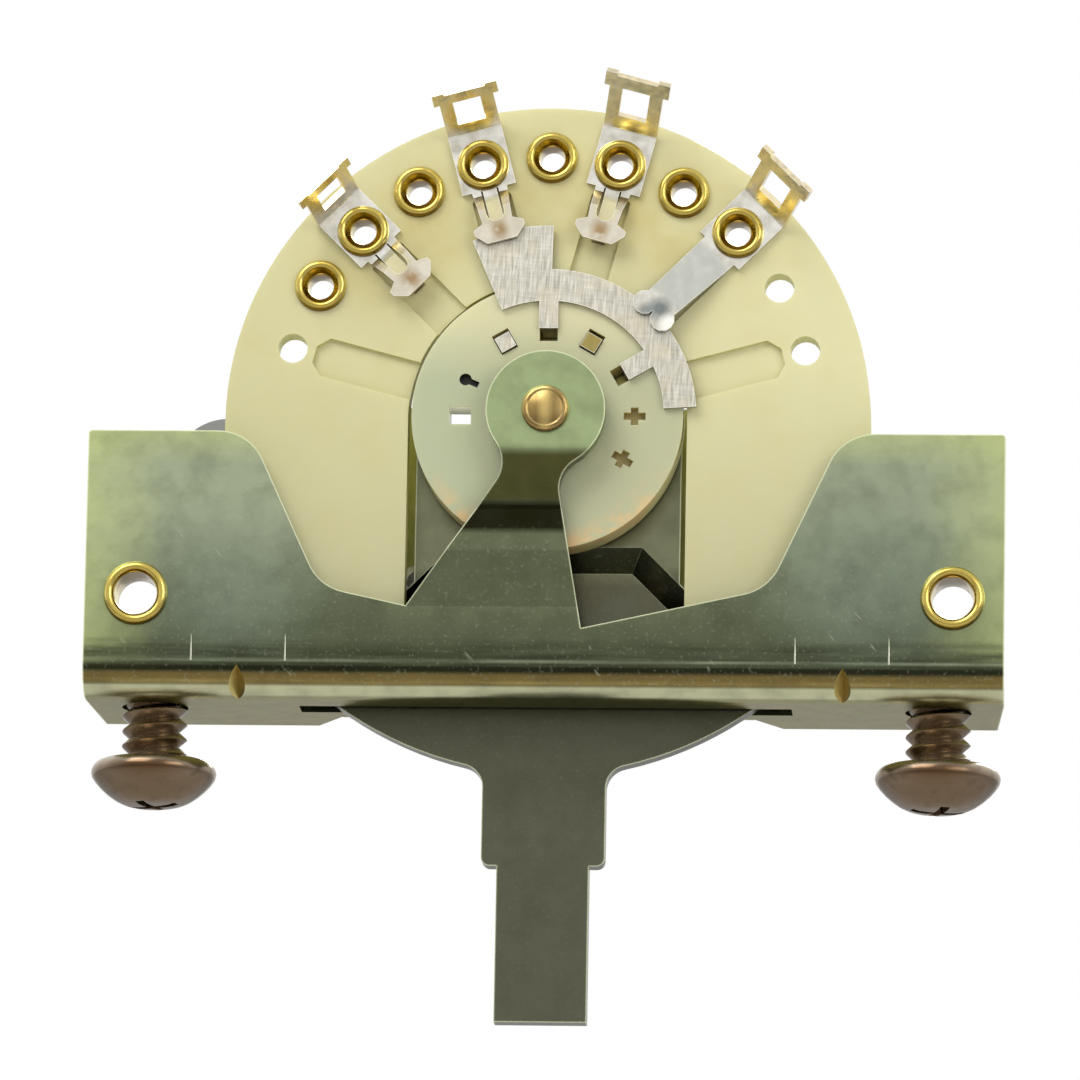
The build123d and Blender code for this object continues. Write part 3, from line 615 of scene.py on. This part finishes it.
@dataclass(frozen=True)
class ClipSilver:
    """Silver clip sheet, golden on its lug, with a stain and a painted reflection in its jaw.

    Fades and stripes run with the distance from the pivot.
    """

    name: str
    body: Rgba = tone(222, 219, 210)
    shade: Rgba = tone(188, 184, 170)
    # Colour of the painted highlight along sharp edges.
    rim: Rgba = tone(250, 247, 232)
    gold: Fade = Fade(15.9, 16.2, tone(240, 224, 186))
    tip: Fade = Fade(17.0, 17.6, tone(190, 176, 150), 0.6)
    jaw: Fade = Fade(12.2, 11.6, tone(214, 204, 178), 0.55)
    tongue: Stripe = Stripe(10.9, 12.2, 0.2, tone(214, 206, 160), 0.9)
    # Brown mark down the jaw's middle: a stain, and a painted reflection of its dimple.
    stain: Stripe = Stripe(9.8, 10.7, 0.7, tone(166, 140, 102))
    blade: Stripe = Stripe(8.7, 12.35, 0.3, tone(188, 189, 180))
    # Painted shadow spots and a painted highlight on the common's lobes.
    blade_spots: Tuple[Spot, ...] = (
        Spot(5.85, 20.75, 0.2, 0.6, tone(96, 108, 110), 0.85),
        Spot(5.15, 20.6, 0.2, 0.4, tone(96, 108, 110), 0.6),
        Spot(6.4, 19.8, 0.3, 0.5, tone(255, 253, 244), 0.8),
    )
    warmth: Grain = Grain(0.5, 3.0, 0.2, 0.5)
    folds: Grain = Grain(0.35, 2.0, 0.4, 0.65)
    blots: Grain = Grain(0.45, 2.0, 0.2, 0.45)
    clip_step: float = 15.0
    plain: bool = False

    def make(self) -> Material:
        """Build the material."""
        coat = Coat(self.name)
        coat.colours(coat.noise(Grain(0.8)), (0.35, self.body), (0.7, self.shade))
        coat.fade(coat.radius, self.gold, coat.noise(self.warmth))
        coat.fade(coat.radius, self.tip, coat.noise(self.folds))
        if self.plain:
            coat.stripe(coat.radius, self.blade)
            # Painted shadow spots and a painted highlight on the common's lobes.
            coat.spots(self.blade_spots)
        else:
            self.shade_jaw(coat)
        # Painted highlight along sharp edges.
        coat.paint(self.rim, coat.edges(0.07), 0.8)
        coat.bump(coat.noise(Grain(0.5)), 0.012)
        return coat.finish(1.0, coat.drift(0.14, Grain(0.6), 0.2))

    def shade_jaw(self, coat: Coat) -> None:
        """Tint a clip's jaw and tongue, and paint its middle mark: a stain and a painted
        reflection.
        """
        coat.fade(coat.radius, self.jaw)
        turned = coat.math("ADD", coat.angle, self.clip_step)
        aside = coat.math("PINGPONG", turned, self.clip_step)
        coat.stripe(coat.radius, self.tongue, coat.ramp(aside, 3.6, 2.2))
        # Brown mark down the jaw's middle: a stain, and a painted reflection of its dimple.
        centre = coat.ramp(aside, 3.4, 0.8)
        coat.stripe(coat.radius, self.stain, centre, coat.noise(self.blots))


@dataclass(frozen=True)
class TurnedMetal:
    """Turned or rolled metal, with painted light and reflections by the way it faces."""

    name: str
    # Painted light and reflections for faces that point up, sideways, ahead and down.
    up: Rgba
    side: Rgba
    front: Rgba
    down: Rgba
    spots: Rgba
    roughness: float = 0.22
    grain: float = 0.5
    # Share of a painted highlight streak down the middle of the front.
    streak: float = 0.0
    streak_reach: Span = (0.45, 0.1)
    ahead: Span = (0.66, 0.95)

    def make(self) -> Material:
        """Build the material."""
        coat = Coat(self.name)
        # Painted light, shade and reflections by the way each face points.
        rise = coat.ramp(coat.facing["Z"], -1.0, 1.0)
        coat.colours(rise, (0.12, self.down), (0.5, self.side), (0.86, self.up))
        ahead = coat.ramp(coat.times(coat.facing["Y"], -1.0), *self.ahead)
        coat.paint(self.front, ahead, 0.85)
        # Painted highlight streak down the middle of the front.
        if self.streak:
            middle = coat.ramp(coat.math("ABSOLUTE", coat.x), *self.streak_reach)
            coat.paint(self.side, middle, ahead, self.streak)
        cloud = coat.noise(Grain(self.grain, 4.0, 0.5, 0.75))
        coat.paint(self.spots, cloud, 0.4)
        coat.bump(coat.noise(Grain(0.25, 2.0)), 0.001)
        return coat.finish(1.0, coat.math("ADD", coat.times(cloud, 0.12), self.roughness))


FRAME_FINISH = FramePlating(
    "olive_plating",
    flat=tone(86, 92, 70),
    dark=tone(48, 52, 36),
    fleck=tone(168, 174, 150),
    # Colour of the painted edge highlight.
    rim=tone(232, 236, 196),
    highlight_width=0.14,
)
LEVER_FINISH = LeverPlating(
    "lever_plating",
    flat=tone(88, 89, 73),
    dark=tone(60, 62, 46),
    fleck=tone(140, 142, 124),
    # Colour of the painted edge highlight.
    rim=tone(204, 206, 172),
    highlight_width=0.12,
    fleck_share=0.14,
)
# The turned finishes below paint light and reflections by the way faces point.
BRASS = TurnedMetal(
    "rolled_brass",
    up=tone(204, 188, 104),
    side=tone(232, 216, 134),
    front=tone(184, 160, 74),
    down=tone(124, 98, 34),
    spots=tone(150, 126, 50),
    roughness=0.18,
)
PEENED = TurnedMetal(
    "peened_brass",
    up=tone(190, 178, 136),
    side=tone(206, 180, 112),
    front=tone(128, 105, 62),
    down=tone(120, 92, 54),
    spots=tone(126, 106, 86),
    roughness=0.26,
    grain=0.6,
    streak=0.75,
)
DARK_STEEL = TurnedMetal(
    "dark_steel",
    up=tone(190, 178, 158),
    side=tone(140, 124, 106),
    front=tone(82, 56, 30),
    down=tone(104, 87, 68),
    spots=tone(84, 66, 48),
    roughness=0.24,
    grain=0.7,
)
SPRING_STEEL = TurnedMetal(
    "spring_steel",
    up=tone(176, 176, 172),
    side=tone(156, 156, 152),
    front=tone(140, 140, 136),
    down=tone(110, 110, 106),
    spots=tone(112, 108, 98),
    grain=0.9,
)
BALL_STEEL = TurnedMetal(
    "polished_ball",
    up=tone(224, 224, 222),
    side=tone(206, 206, 204),
    front=tone(190, 190, 188),
    down=tone(150, 150, 148),
    spots=tone(170, 170, 168),
    roughness=0.1,
)


class Bench:
    """Short ways to select, shape, join and finish mesh pieces."""

    SMOOTH_ANGLE = 38
    UPWARD = 0.9
    WELD = 0.002

    @staticmethod
    def deselect() -> None:
        """Leave edit mode, with nothing selected."""
        if bpy.context.object and bpy.context.object.mode != "OBJECT":
            bpy.ops.object.mode_set(mode="OBJECT")
        bpy.ops.object.select_all(action="DESELECT")

    @staticmethod
    def take(piece: Piece) -> None:
        """Select one piece alone and make it active."""
        Bench.deselect()
        piece.select_set(True)
        bpy.context.view_layer.objects.active = piece

    @staticmethod
    def edit() -> None:
        """Enter edit mode with all of the active piece selected."""
        bpy.ops.object.mode_set(mode="EDIT")
        bpy.ops.mesh.select_all(action="SELECT")

    @staticmethod
    def close() -> None:
        """Turn all faces of the piece being edited outward and leave edit mode."""
        bpy.ops.mesh.select_all(action="SELECT")
        bpy.ops.mesh.normals_make_consistent(inside=False)
        bpy.ops.object.mode_set(mode="OBJECT")

    @staticmethod
    def pick(piece: Piece, kind: str, test: Callable[[Any], bool]) -> None:
        """Select faces, edges or vertices in edit mode by a test.

        Args:
            piece: The mesh being edited.
            kind: "FACE", "EDGE" or "VERT".
            test: Takes a mesh element and says whether it is selected.
        """
        bpy.ops.mesh.select_mode(type=kind)
        bpy.ops.mesh.select_all(action="DESELECT")
        bpy.ops.object.mode_set(mode="OBJECT")
        mesh = piece.data
        group = {"FACE": mesh.polygons, "EDGE": mesh.edges, "VERT": mesh.vertices}[kind]
        for element in group:
            element.select = test(element)
        bpy.ops.object.mode_set(mode="EDIT")

    @staticmethod
    def settle(piece: Piece) -> None:
        """Put a piece's place, turn and scale into its mesh."""
        Bench.take(piece)
        bpy.ops.object.transform_apply(location=True, rotation=True, scale=True)

    @staticmethod
    def join(pieces: Sequence[Piece], name: str) -> Piece:
        """Join pieces into one object with a name."""
        Bench.take(pieces[0])
        for piece in pieces:
            piece.select_set(True)
        bpy.ops.object.join()
        joined = bpy.context.object
        joined.name = name
        return joined

    @staticmethod
    def turn(rings: Sequence[Ring], sides: int, closed: bool) -> Piece:
        """Turn a piece round Z by drawing one ring out through all the others.

        Args:
            rings: Height and radius of each ring in millimetres.
            sides: Number of facets.
            closed: True if the last ring meets the first one, else both ends
                are capped.

        Returns:
            The turned piece.
        """
        Bench.deselect()
        level, radius = rings[0]
        cap = "NOTHING" if closed else "NGON"
        bpy.ops.mesh.primitive_circle_add(
            vertices=sides, radius=radius * MM, fill_type=cap, location=(0, 0, level * MM)
        )
        piece = bpy.context.object
        Bench.settle(piece)
        Bench.edit()
        for next_level, next_radius in rings[1:]:
            rise = (next_level - level) * MM
            bpy.ops.mesh.extrude_region_move(TRANSFORM_OT_translate={"value": (0, 0, rise)})
            scale = next_radius / radius
            bpy.ops.transform.resize(
                value=(scale, scale, 1.0), center_override=(0, 0, next_level * MM)
            )
            level, radius = next_level, next_radius
        bpy.ops.mesh.select_all(action="SELECT")
        bpy.ops.mesh.remove_doubles(threshold=Bench.WELD * MM)
        Bench.close()
        return piece

    @staticmethod
    def put(piece: Piece, facing: Facing, place: Point) -> None:
        """Turn a piece to face a side, move it, and keep both in its mesh."""
        piece.rotation_euler = facing.value
        piece.location = Vector(place) * MM
        Bench.settle(piece)

    @staticmethod
    def hand_over(piece: Piece, node: str, slot: str, body: Body, material: Any) -> str:
        """Shade and dress a piece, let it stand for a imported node, and return its name."""
        Bench.take(piece)
        bpy.ops.object.shade_smooth_by_angle(angle=math.radians(Bench.SMOOTH_ANGLE))
        piece.data.materials.clear()
        piece.data.materials.append(material)
        if node:
            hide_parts(node)
        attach(piece, body.value)
        return piece.name


@dataclass(frozen=True)
class DressedNodes:
    """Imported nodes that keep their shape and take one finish."""

    nodes: Tuple[str, ...]
    finish: Any

    def build(self) -> str:
        """Give each node the finish and return their names."""
        material = self.finish.make()
        for name in self.nodes:
            for slot in bpy.data.objects[name].material_slots:
                slot.material = material
        return ", ".join(self.nodes)


def arc(middle: Ring, radius: float, start: float, stop: float, steps: int) -> List[Ring]:
    """Return rings along an arc of a profile.

    Args:
        middle: Height and radius of the arc's centre.
        radius: Radius of the arc itself.
        start: First angle in degrees, 0 straight out and 90 straight up.
        stop: Last angle in degrees.
        steps: Number of steps.
    """
    rings = []
    for index in range(steps + 1):
        turn = math.radians(start + (stop - start) * index / steps)
        rings.append((middle[0] + radius * math.sin(turn), middle[1] + radius * math.cos(turn)))
    return rings


@dataclass(frozen=True)
class RolledEyelet:
    """Brass eyelet with a rolled rim on each side."""

    node: str
    x: float
    z: float
    front: float
    back: float
    hole: float
    barrel: float
    rim: float
    material: Any
    height: float = 0.4
    roll_share: float = 0.72
    crown_arc: Span = (0, 150)
    heel_arc: Span = (200, 360)
    heel_share: float = 0.98
    neck: Ring = (0.1, 0.45)
    throat: Ring = (0.3, 0.03)
    bore_front: float = 0.5
    bore_back: Ring = (0.3, 0.04)
    steps: int = 12
    sides: int = 48

    def roll(self) -> float:
        """Return the radius of the rolled rim's section across."""
        return self.roll_share * (self.rim - self.hole) / 2

    def rolled(self, level: float, turns: Span, share: float) -> List[Ring]:
        """Return the rings of one rolled rim.

        Args:
            level: Height of the sheet that it lies on.
            turns: First and last angle of its section.
            share: Share of the full height that it rises.
        """
        rise = share * self.height / self.roll()
        rings = arc((0.0, self.rim - self.roll()), self.roll(), *turns, self.steps)
        return [(level + height * rise, radius) for height, radius in rings]

    def build(self) -> str:
        """Turn the eyelet, place it and return its name."""
        face, back = -self.front, -self.back
        funnel = self.rim - 2 * self.roll() - self.hole
        rings = self.rolled(face, self.crown_arc, 1.0)
        rings += [
            (face + self.neck[0] * self.height, self.hole + self.neck[1] * funnel),
            (face - self.throat[0] * self.height, self.hole + self.throat[1]),
            (face - self.bore_front, self.hole),
            (back + self.bore_back[0], self.hole),
            (back, self.hole + self.bore_back[1]),
        ]
        rings += self.rolled(back, self.heel_arc, self.heel_share)
        rings += [(back, self.barrel), (face, self.barrel), (face, self.rim)]
        piece = Bench.turn(rings, self.sides, closed=True)
        Bench.put(piece, Facing.FRONT, (self.x, 0.0, self.z))
        piece.name = self.node + "_rolled"
        return Bench.hand_over(piece, self.node, "eyelet_brass", Body.BASE, self.material)


@dataclass(frozen=True)
class PeenedRivet:
    """Pivot rivet with a flat peened head in a bright ring."""

    material: Any
    node: str = "pivot_rivet"
    shank: float = 0.95
    head: float = 1.25
    arm_face: float = -5.4
    head_wall: float = 0.16
    head_round: float = 0.24
    round_arc: Span = (15, 90)
    crown: Tuple[Ring, ...] = ((0.34, 0.91), (0.42, 0.6), (0.45, 0.2))
    tail: float = 1.9
    tail_edge: float = 0.12
    washer_face: float = 0.25
    tail_face: float = 0.75
    sides: int = 64

    def build(self) -> str:
        """Turn the rivet, place it and return its name."""
        foot = -self.arm_face
        wall = foot + self.head_wall
        rings = [
            (-self.tail_face, self.tail - self.tail_edge),
            (-self.tail_face + self.tail_edge, self.tail),
            (-self.washer_face, self.tail),
            (-self.washer_face, self.shank),
            (foot, self.shank),
            (foot, self.head),
            (wall, self.head),
        ]
        rings += arc((wall, self.head - self.head_round), self.head_round, *self.round_arc, 5)
        rings += [(foot + rise, radius) for rise, radius in self.crown]
        piece = Bench.turn(rings, self.sides, closed=False)
        Bench.put(piece, Facing.FRONT, (0.0, 0.0, PIVOT_Z))
        piece.name = "pivot_rivet_peened"
        return Bench.hand_over(piece, self.node, "rivet_brass", Body.BASE, self.material)


@dataclass(frozen=True)
class DetentBall:
    """Polished ball between the lever and the index wall."""

    material: Any
    node: str = "index_ball"
    radius: float = 1.4
    y: float = 2.05
    z: float = 3.2
    pole: float = 86
    steps: int = 24
    sides: int = 40

    def build(self) -> str:
        """Turn the ball, place it and return its name."""
        rings = arc((0.0, 0.0), self.radius, -self.pole, self.pole, self.steps)
        piece = Bench.turn(rings, self.sides, closed=False)
        Bench.put(piece, Facing.FRONT, (0.0, self.y, self.z))
        piece.name = "index_ball_polished"
        return Bench.hand_over(piece, self.node, "ball_steel", Body.BASE, self.material)


@dataclass(frozen=True)
class MountingScrew:
    """Round head screw with a cut thread and a cross recess."""

    node: str
    x: float
    turn: float
    material: Any
    standoff: float = 2.9
    length: float = 6.25
    crest: float = 1.75
    root: float = 1.3
    pitch: float = 0.79
    crest_round: float = 0.07
    thread_steps: int = 40
    thread_weld: float = 0.005
    overlap: float = 0.05
    head_radius: float = 3.3
    head_height: float = 2.42
    belly: float = 0.65
    belly_arc: Span = (12, 90)
    inner_radius: float = 0.5
    recess_span: float = 3.9
    recess_width: float = 0.7
    recess_depth: float = 1.4
    recess_taper: float = 0.5
    sides: int = 72
    dome: Tuple[Ring, ...] = (
        (1.0, 0.2), (0.98, 0.34), (0.92, 0.47), (0.82, 0.59), (0.66, 0.72),
        (0.48, 0.83), (0.3, 0.92), (0.14, 0.98), (0.0, 1.0),
    )

    def thread(self) -> Piece:
        """Wind one tooth outline up the shank and trim both ends."""
        Bench.deselect()
        bpy.ops.mesh.primitive_plane_add(
            size=self.pitch * MM / math.sqrt(2), rotation=(math.pi / 2, math.radians(45), 0)
        )
        tooth = bpy.context.object
        Bench.settle(tooth)
        bpy.ops.object.mode_set(mode="EDIT")
        # The square stands on a corner: the inner one goes, the outer one is the crest.
        inner = -self.pitch * MM / 4
        Bench.pick(tooth, "VERT", lambda v: v.co.x < inner)
        bpy.ops.mesh.delete(type="VERT")
        bpy.ops.mesh.select_all(action="SELECT")
        depth = (self.crest - self.root) / (self.pitch / 2)
        bpy.ops.transform.resize(value=(depth, 1, 1), center_override=(0, 0, 0))
        bpy.ops.transform.translate(value=(self.root * MM, 0, 0))
        middle = (self.root + self.crest) / 2 * MM
        Bench.pick(tooth, "VERT", lambda v: v.co.x > middle)
        bpy.ops.mesh.bevel(offset=self.crest_round * MM, segments=2, affect="VERTICES")
        bpy.ops.object.mode_set(mode="OBJECT")
        wind = tooth.modifiers.new("wind", "SCREW")
        wind.iterations = int((self.length + self.pitch) / self.pitch)
        wind.angle = 2 * math.pi
        wind.screw_offset = self.pitch * MM
        wind.steps = self.thread_steps
        wind.render_steps = self.thread_steps
        wind.use_merge_vertices = True
        wind.merge_threshold = self.thread_weld * MM
        Bench.take(tooth)
        bpy.ops.object.modifier_apply(modifier=wind.name)
        Bench.edit()
        bpy.ops.mesh.remove_doubles(threshold=self.thread_weld * MM)
        bpy.ops.transform.translate(value=(0, 0, (-self.standoff - self.pitch / 2) * MM))
        tip = self.length - self.standoff
        for level, up in ((tip, 1), (-self.standoff - self.overlap, -1)):
            bpy.ops.mesh.select_all(action="SELECT")
            bpy.ops.mesh.bisect(
                plane_co=(0, 0, level * MM), plane_no=(0, 0, up), use_fill=True, clear_outer=True
            )
        Bench.close()
        return tooth

    def head(self) -> Piece:
        """Turn the round head and press the cross into it."""
        under = -self.standoff
        wide = self.head_radius
        deep = self.head_height - self.belly
        rings = [(under - self.belly - deep * drop, wide * share) for drop, share in self.dome]
        rings += arc((under - self.belly, wide - self.belly), self.belly, *self.belly_arc, 8)
        rings += [(under, self.inner_radius)]
        head = Bench.turn(rings, self.sides, closed=False)
        for quarter in (0, 90):
            self.press(head, under - self.head_height, self.turn + quarter)
        return head

    def press(self, head: Piece, bottom: float, turn: float) -> None:
        """Cut one bar of the cross recess.

        Args:
            head: The head being cut.
            bottom: Height of its lowest point.
            turn: Angle of the bar in degrees.
        """
        Bench.deselect()
        bpy.ops.mesh.primitive_cube_add(
            size=1.0, location=(0, 0, bottom * MM), rotation=(0, 0, math.radians(turn))
        )
        bar = bpy.context.object
        bar.scale = (self.recess_span * MM, self.recess_width * MM, 2 * self.recess_depth * MM)
        Bench.settle(bar)
        bpy.ops.object.mode_set(mode="EDIT")
        Bench.pick(bar, "FACE", lambda f: f.normal.z > Bench.UPWARD)
        bpy.ops.transform.resize(value=(self.recess_taper, self.recess_taper, 1.0))
        bpy.ops.object.mode_set(mode="OBJECT")
        Bench.take(head)
        cut = head.modifiers.new("recess", "BOOLEAN")
        cut.operation = "DIFFERENCE"
        cut.object = bar
        cut.solver = "EXACT"
        bpy.ops.object.modifier_apply(modifier=cut.name)
        bpy.data.objects.remove(bar, do_unlink=True)

    def build(self) -> str:
        """Join head and thread, place the screw and return its name."""
        screw = Bench.join([self.head(), self.thread()], self.node + "_cut")
        Bench.put(screw, Facing.UP, (self.x, 0.0, 0.0))
        return Bench.hand_over(screw, self.node, "screw_steel", Body.BASE, self.material)


@dataclass(frozen=True)
class ScoreMarks:
    """Thin upright score lines above the front bend."""

    material: Any
    lines: Tuple[float, ...] = (-18.41, -13.47, 13.21, 18.11)
    low: float = 1.75
    high: float = 3.15
    width: float = 0.1
    proud: float = 0.02
    edge: float = 0.015
    tip: float = 0.1
    tip_share: float = 0.35

    def line(self, x: float) -> Piece:
        """Raise one thin line on the flange."""
        Bench.deselect()
        bpy.ops.mesh.primitive_cube_add(size=1.0)
        mark = bpy.context.object
        mark.scale = (self.width * MM, 2 * self.proud * MM, (self.high - self.low) * MM)
        mark.location = Vector((x, FLANGE_FACE, (self.high + self.low) / 2)) * MM
        Bench.settle(mark)
        Bench.edit()
        bpy.ops.mesh.bevel(offset=self.edge * MM, segments=2, affect="EDGES")
        Bench.pick(mark, "VERT", lambda v: v.co.z > (self.high - self.tip) * MM)
        bpy.ops.transform.resize(value=(self.tip_share, 1.0, 1.0))
        bpy.ops.object.mode_set(mode="OBJECT")
        return mark

    def build(self) -> str:
        """Make all the lines, fix them to the flange and return their name."""
        marks = Bench.join([self.line(x) for x in self.lines], "score_marks")
        return Bench.hand_over(marks, "", "plated_steel", Body.BASE, self.material)


@dataclass(frozen=True)
class ScoreFinish:
    """Bare bright metal in a score line, duller towards its top."""

    name: str = "score_bright"
    bare: Rgba = tone(226, 226, 206)
    dull: Rgba = tone(128, 134, 112)
    rise: Span = (2.2, 3.6)

    def make(self) -> Material:
        """Build the material."""
        coat = Coat(self.name)
        height = coat.drift(coat.z, Grain(0.3), 0.8)
        coat.colours(coat.ramp(height, *self.rise), (0.0, self.bare), (1.0, self.dull))
        return coat.finish(1.0, 0.3)


@dataclass(frozen=True)
class Studio:
    """Camera, lamps, sky and floor."""

    distance: float = 500.0
    elevation: float = 11.5
    yaw: float = 3.5
    roll: float = 1.05
    width: float = 56.84
    centre: Span = (-0.316, 8.99)
    clip: Span = (0.01, 20.0)
    floor_z: float = -170.0
    floor_size: float = 6.0
    floor_light: Rgba = tone(244, 244, 244)
    floor_dark: Rgba = tone(238, 238, 238)
    sky: float = 0.5
    aim: Point = (0, 0, 10)
    lamps: Tuple[Tuple[str, Point, float, float], ...] = (
        ("key", (-160, -260, 300), 260, 1.2),
        ("fill", (260, -300, 120), 220, 0.5),
        ("back", (60, 300, 260), 240, 1.0),
    )

    def camera(self) -> None:
        """Place the camera at the view of the picture."""
        lift, side, lean = (math.radians(a) for a in (self.elevation, self.yaw, self.roll))
        right = Vector((math.cos(side), math.sin(side), 0))
        up = Vector(
            (math.sin(side) * math.sin(lift), -math.cos(side) * math.sin(lift), math.cos(lift))
        )
        ahead = Vector(
            (-math.sin(side) * math.cos(lift), math.cos(side) * math.cos(lift), math.sin(lift))
        )
        level = right * math.cos(lean) + up * math.sin(lean)
        upright = up * math.cos(lean) - right * math.sin(lean)
        target = level * self.centre[0] + upright * self.centre[1]
        data = bpy.data.cameras.new("camera")
        data.sensor_fit = "HORIZONTAL"
        data.angle = 2 * math.atan(self.width / 2 / self.distance)
        data.clip_start, data.clip_end = self.clip
        camera = bpy.data.objects.new("camera", data)
        bpy.context.scene.collection.objects.link(camera)
        turned = Matrix((level, upright, -ahead)).transposed().to_4x4()
        camera.matrix_world = Matrix.Translation((target - ahead * self.distance) * MM) @ turned
        bpy.context.scene.camera = camera

    def lamp(self, name: str, place: Point, size: float, power: float) -> None:
        """Hang one square lamp that faces the switch.

        Args:
            name: Name of the lamp.
            place: Its place in millimetres.
            size: Side of its square in millimetres.
            power: Power in watts.
        """
        data = bpy.data.lights.new(name, "AREA")
        data.size = size * MM
        data.energy = power
        lamp = bpy.data.objects.new(name, data)
        bpy.context.scene.collection.objects.link(lamp)
        lamp.location = Vector(place) * MM
        way = Vector(self.aim) * MM - lamp.location
        lamp.rotation_euler = way.to_track_quat("-Z", "Y").to_euler()

    def world(self) -> None:
        """Light from all round, white where the camera or a reflection sees it."""
        world = bpy.data.worlds.new("sky")
        world.use_nodes = True
        bpy.context.scene.world = world
        tree = world.node_tree
        sky = tree.nodes["Background"]
        sky.inputs["Color"].default_value = (1, 1, 1, 1)
        path = tree.nodes.new("ShaderNodeLightPath")
        seen = path.outputs["Is Camera Ray"]
        for ray in ("Is Glossy Ray", "Is Transmission Ray"):
            either = tree.nodes.new("ShaderNodeMath")
            either.operation = "MAXIMUM"
            tree.links.new(seen, either.inputs[0])
            tree.links.new(path.outputs[ray], either.inputs[1])
            seen = either.outputs[0]
        level = tree.nodes.new("ShaderNodeMapRange")
        tree.links.new(seen, level.inputs["Value"])
        level.inputs["To Min"].default_value = self.sky
        level.inputs["To Max"].default_value = 1.0
        tree.links.new(level.outputs["Result"], sky.inputs["Strength"])

    def floor(self) -> None:
        """Lay a pale floor under the switch."""
        Bench.deselect()
        bpy.ops.mesh.primitive_plane_add(size=self.floor_size, location=(0, 0, self.floor_z * MM))
        floor = bpy.context.object
        floor.name = "floor"
        Bench.settle(floor)
        coat = Coat("pale_floor")
        clouds = coat.noise(Grain(60.0, 2.0))
        coat.colours(clouds, (0.3, self.floor_dark), (0.7, self.floor_light))
        floor.data.materials.append(coat.finish(0.0, 0.7))

    def build(self) -> None:
        """Set up the whole studio."""
        self.camera()
        self.world()
        self.floor()
        for lamp in self.lamps:
            self.lamp(*lamp)


def hardware() -> List[Any]:
    """List the turned and rolled pieces that are rebuilt smooth, and the score marks."""
    brass = BRASS.make()
    steel = DARK_STEEL.make()
    pieces: List[Any] = [
        MountingScrew("mounting_screw_left", -SCREW_X, -25.0, steel),
        MountingScrew("mounting_screw_right", SCREW_X, 18.0, steel),
        PeenedRivet(PEENED.make()),
        DetentBall(BALL_STEEL.make()),
        ScoreMarks(ScoreFinish().make()),
    ]
    large = {"hole": 1.1, "barrel": 1.35, "rim": 1.7, "roll_share": 0.95, "material": brass}
    for side, way in (("left", -1), ("right", 1)):
        place = (way * FRAME_EYELET[0], FRAME_EYELET[1], FLANGE_FACE, WAFER_BACK)
        pieces.append(RolledEyelet("frame_eyelet_" + side, *place, **large))
    small = {"hole": 0.65, "barrel": 0.78, "rim": 1.38, "material": brass}
    for index, degrees in enumerate(EYELET_TURNS):
        turn = math.radians(degrees)
        x, z = EYELET_RADIUS * math.sin(turn), PIVOT_Z + EYELET_RADIUS * math.cos(turn)
        if index % 2:
            depth = (WAFER_FRONT - CLIP_SHEET, WAFER_BACK)
        else:
            depth = (WAFER_FRONT, WAFER_BACK + CLIP_SHEET)
        pieces.append(RolledEyelet(f"wafer_eyelet_{index + 1}", x, z, *depth, **small))
    return pieces


def sheet_parts() -> List[DressedNodes]:
    """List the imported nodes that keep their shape."""
    ends = ("left", "middle", "right")
    clips = tuple(f"{side}_terminal_{end}" for side in ("front", "rear") for end in ends)
    return [
        DressedNodes(("frame",), FRAME_FINISH),
        DressedNodes(("lever",), LEVER_FINISH),
        DressedNodes(("wafer",), Laminate()),
        DressedNodes(("rotor",), RotorMoulding()),
        DressedNodes(("front_blade", "rear_blade"), BladeSilver()),
        DressedNodes(clips, ClipSilver("clip_silver")),
        DressedNodes(("front_common", "rear_common"), ClipSilver("common_silver", plain=True)),
        DressedNodes(("pivot_washer", "index_spring", "index_spring_rivet"), SPRING_STEEL),
    ]


def main() -> None:
    """Build the studio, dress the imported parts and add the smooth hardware."""
    logging.basicConfig(level=logging.INFO, format="%(message)s")
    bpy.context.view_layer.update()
    bpy.context.scene.view_settings.view_transform = "Standard"
    Studio().build()
    for part in sheet_parts():
        LOG.info("dressed %s", part.build())
    for piece in hardware():
        LOG.info("built %s", piece.build())


if __name__ == "__main__":
    main()
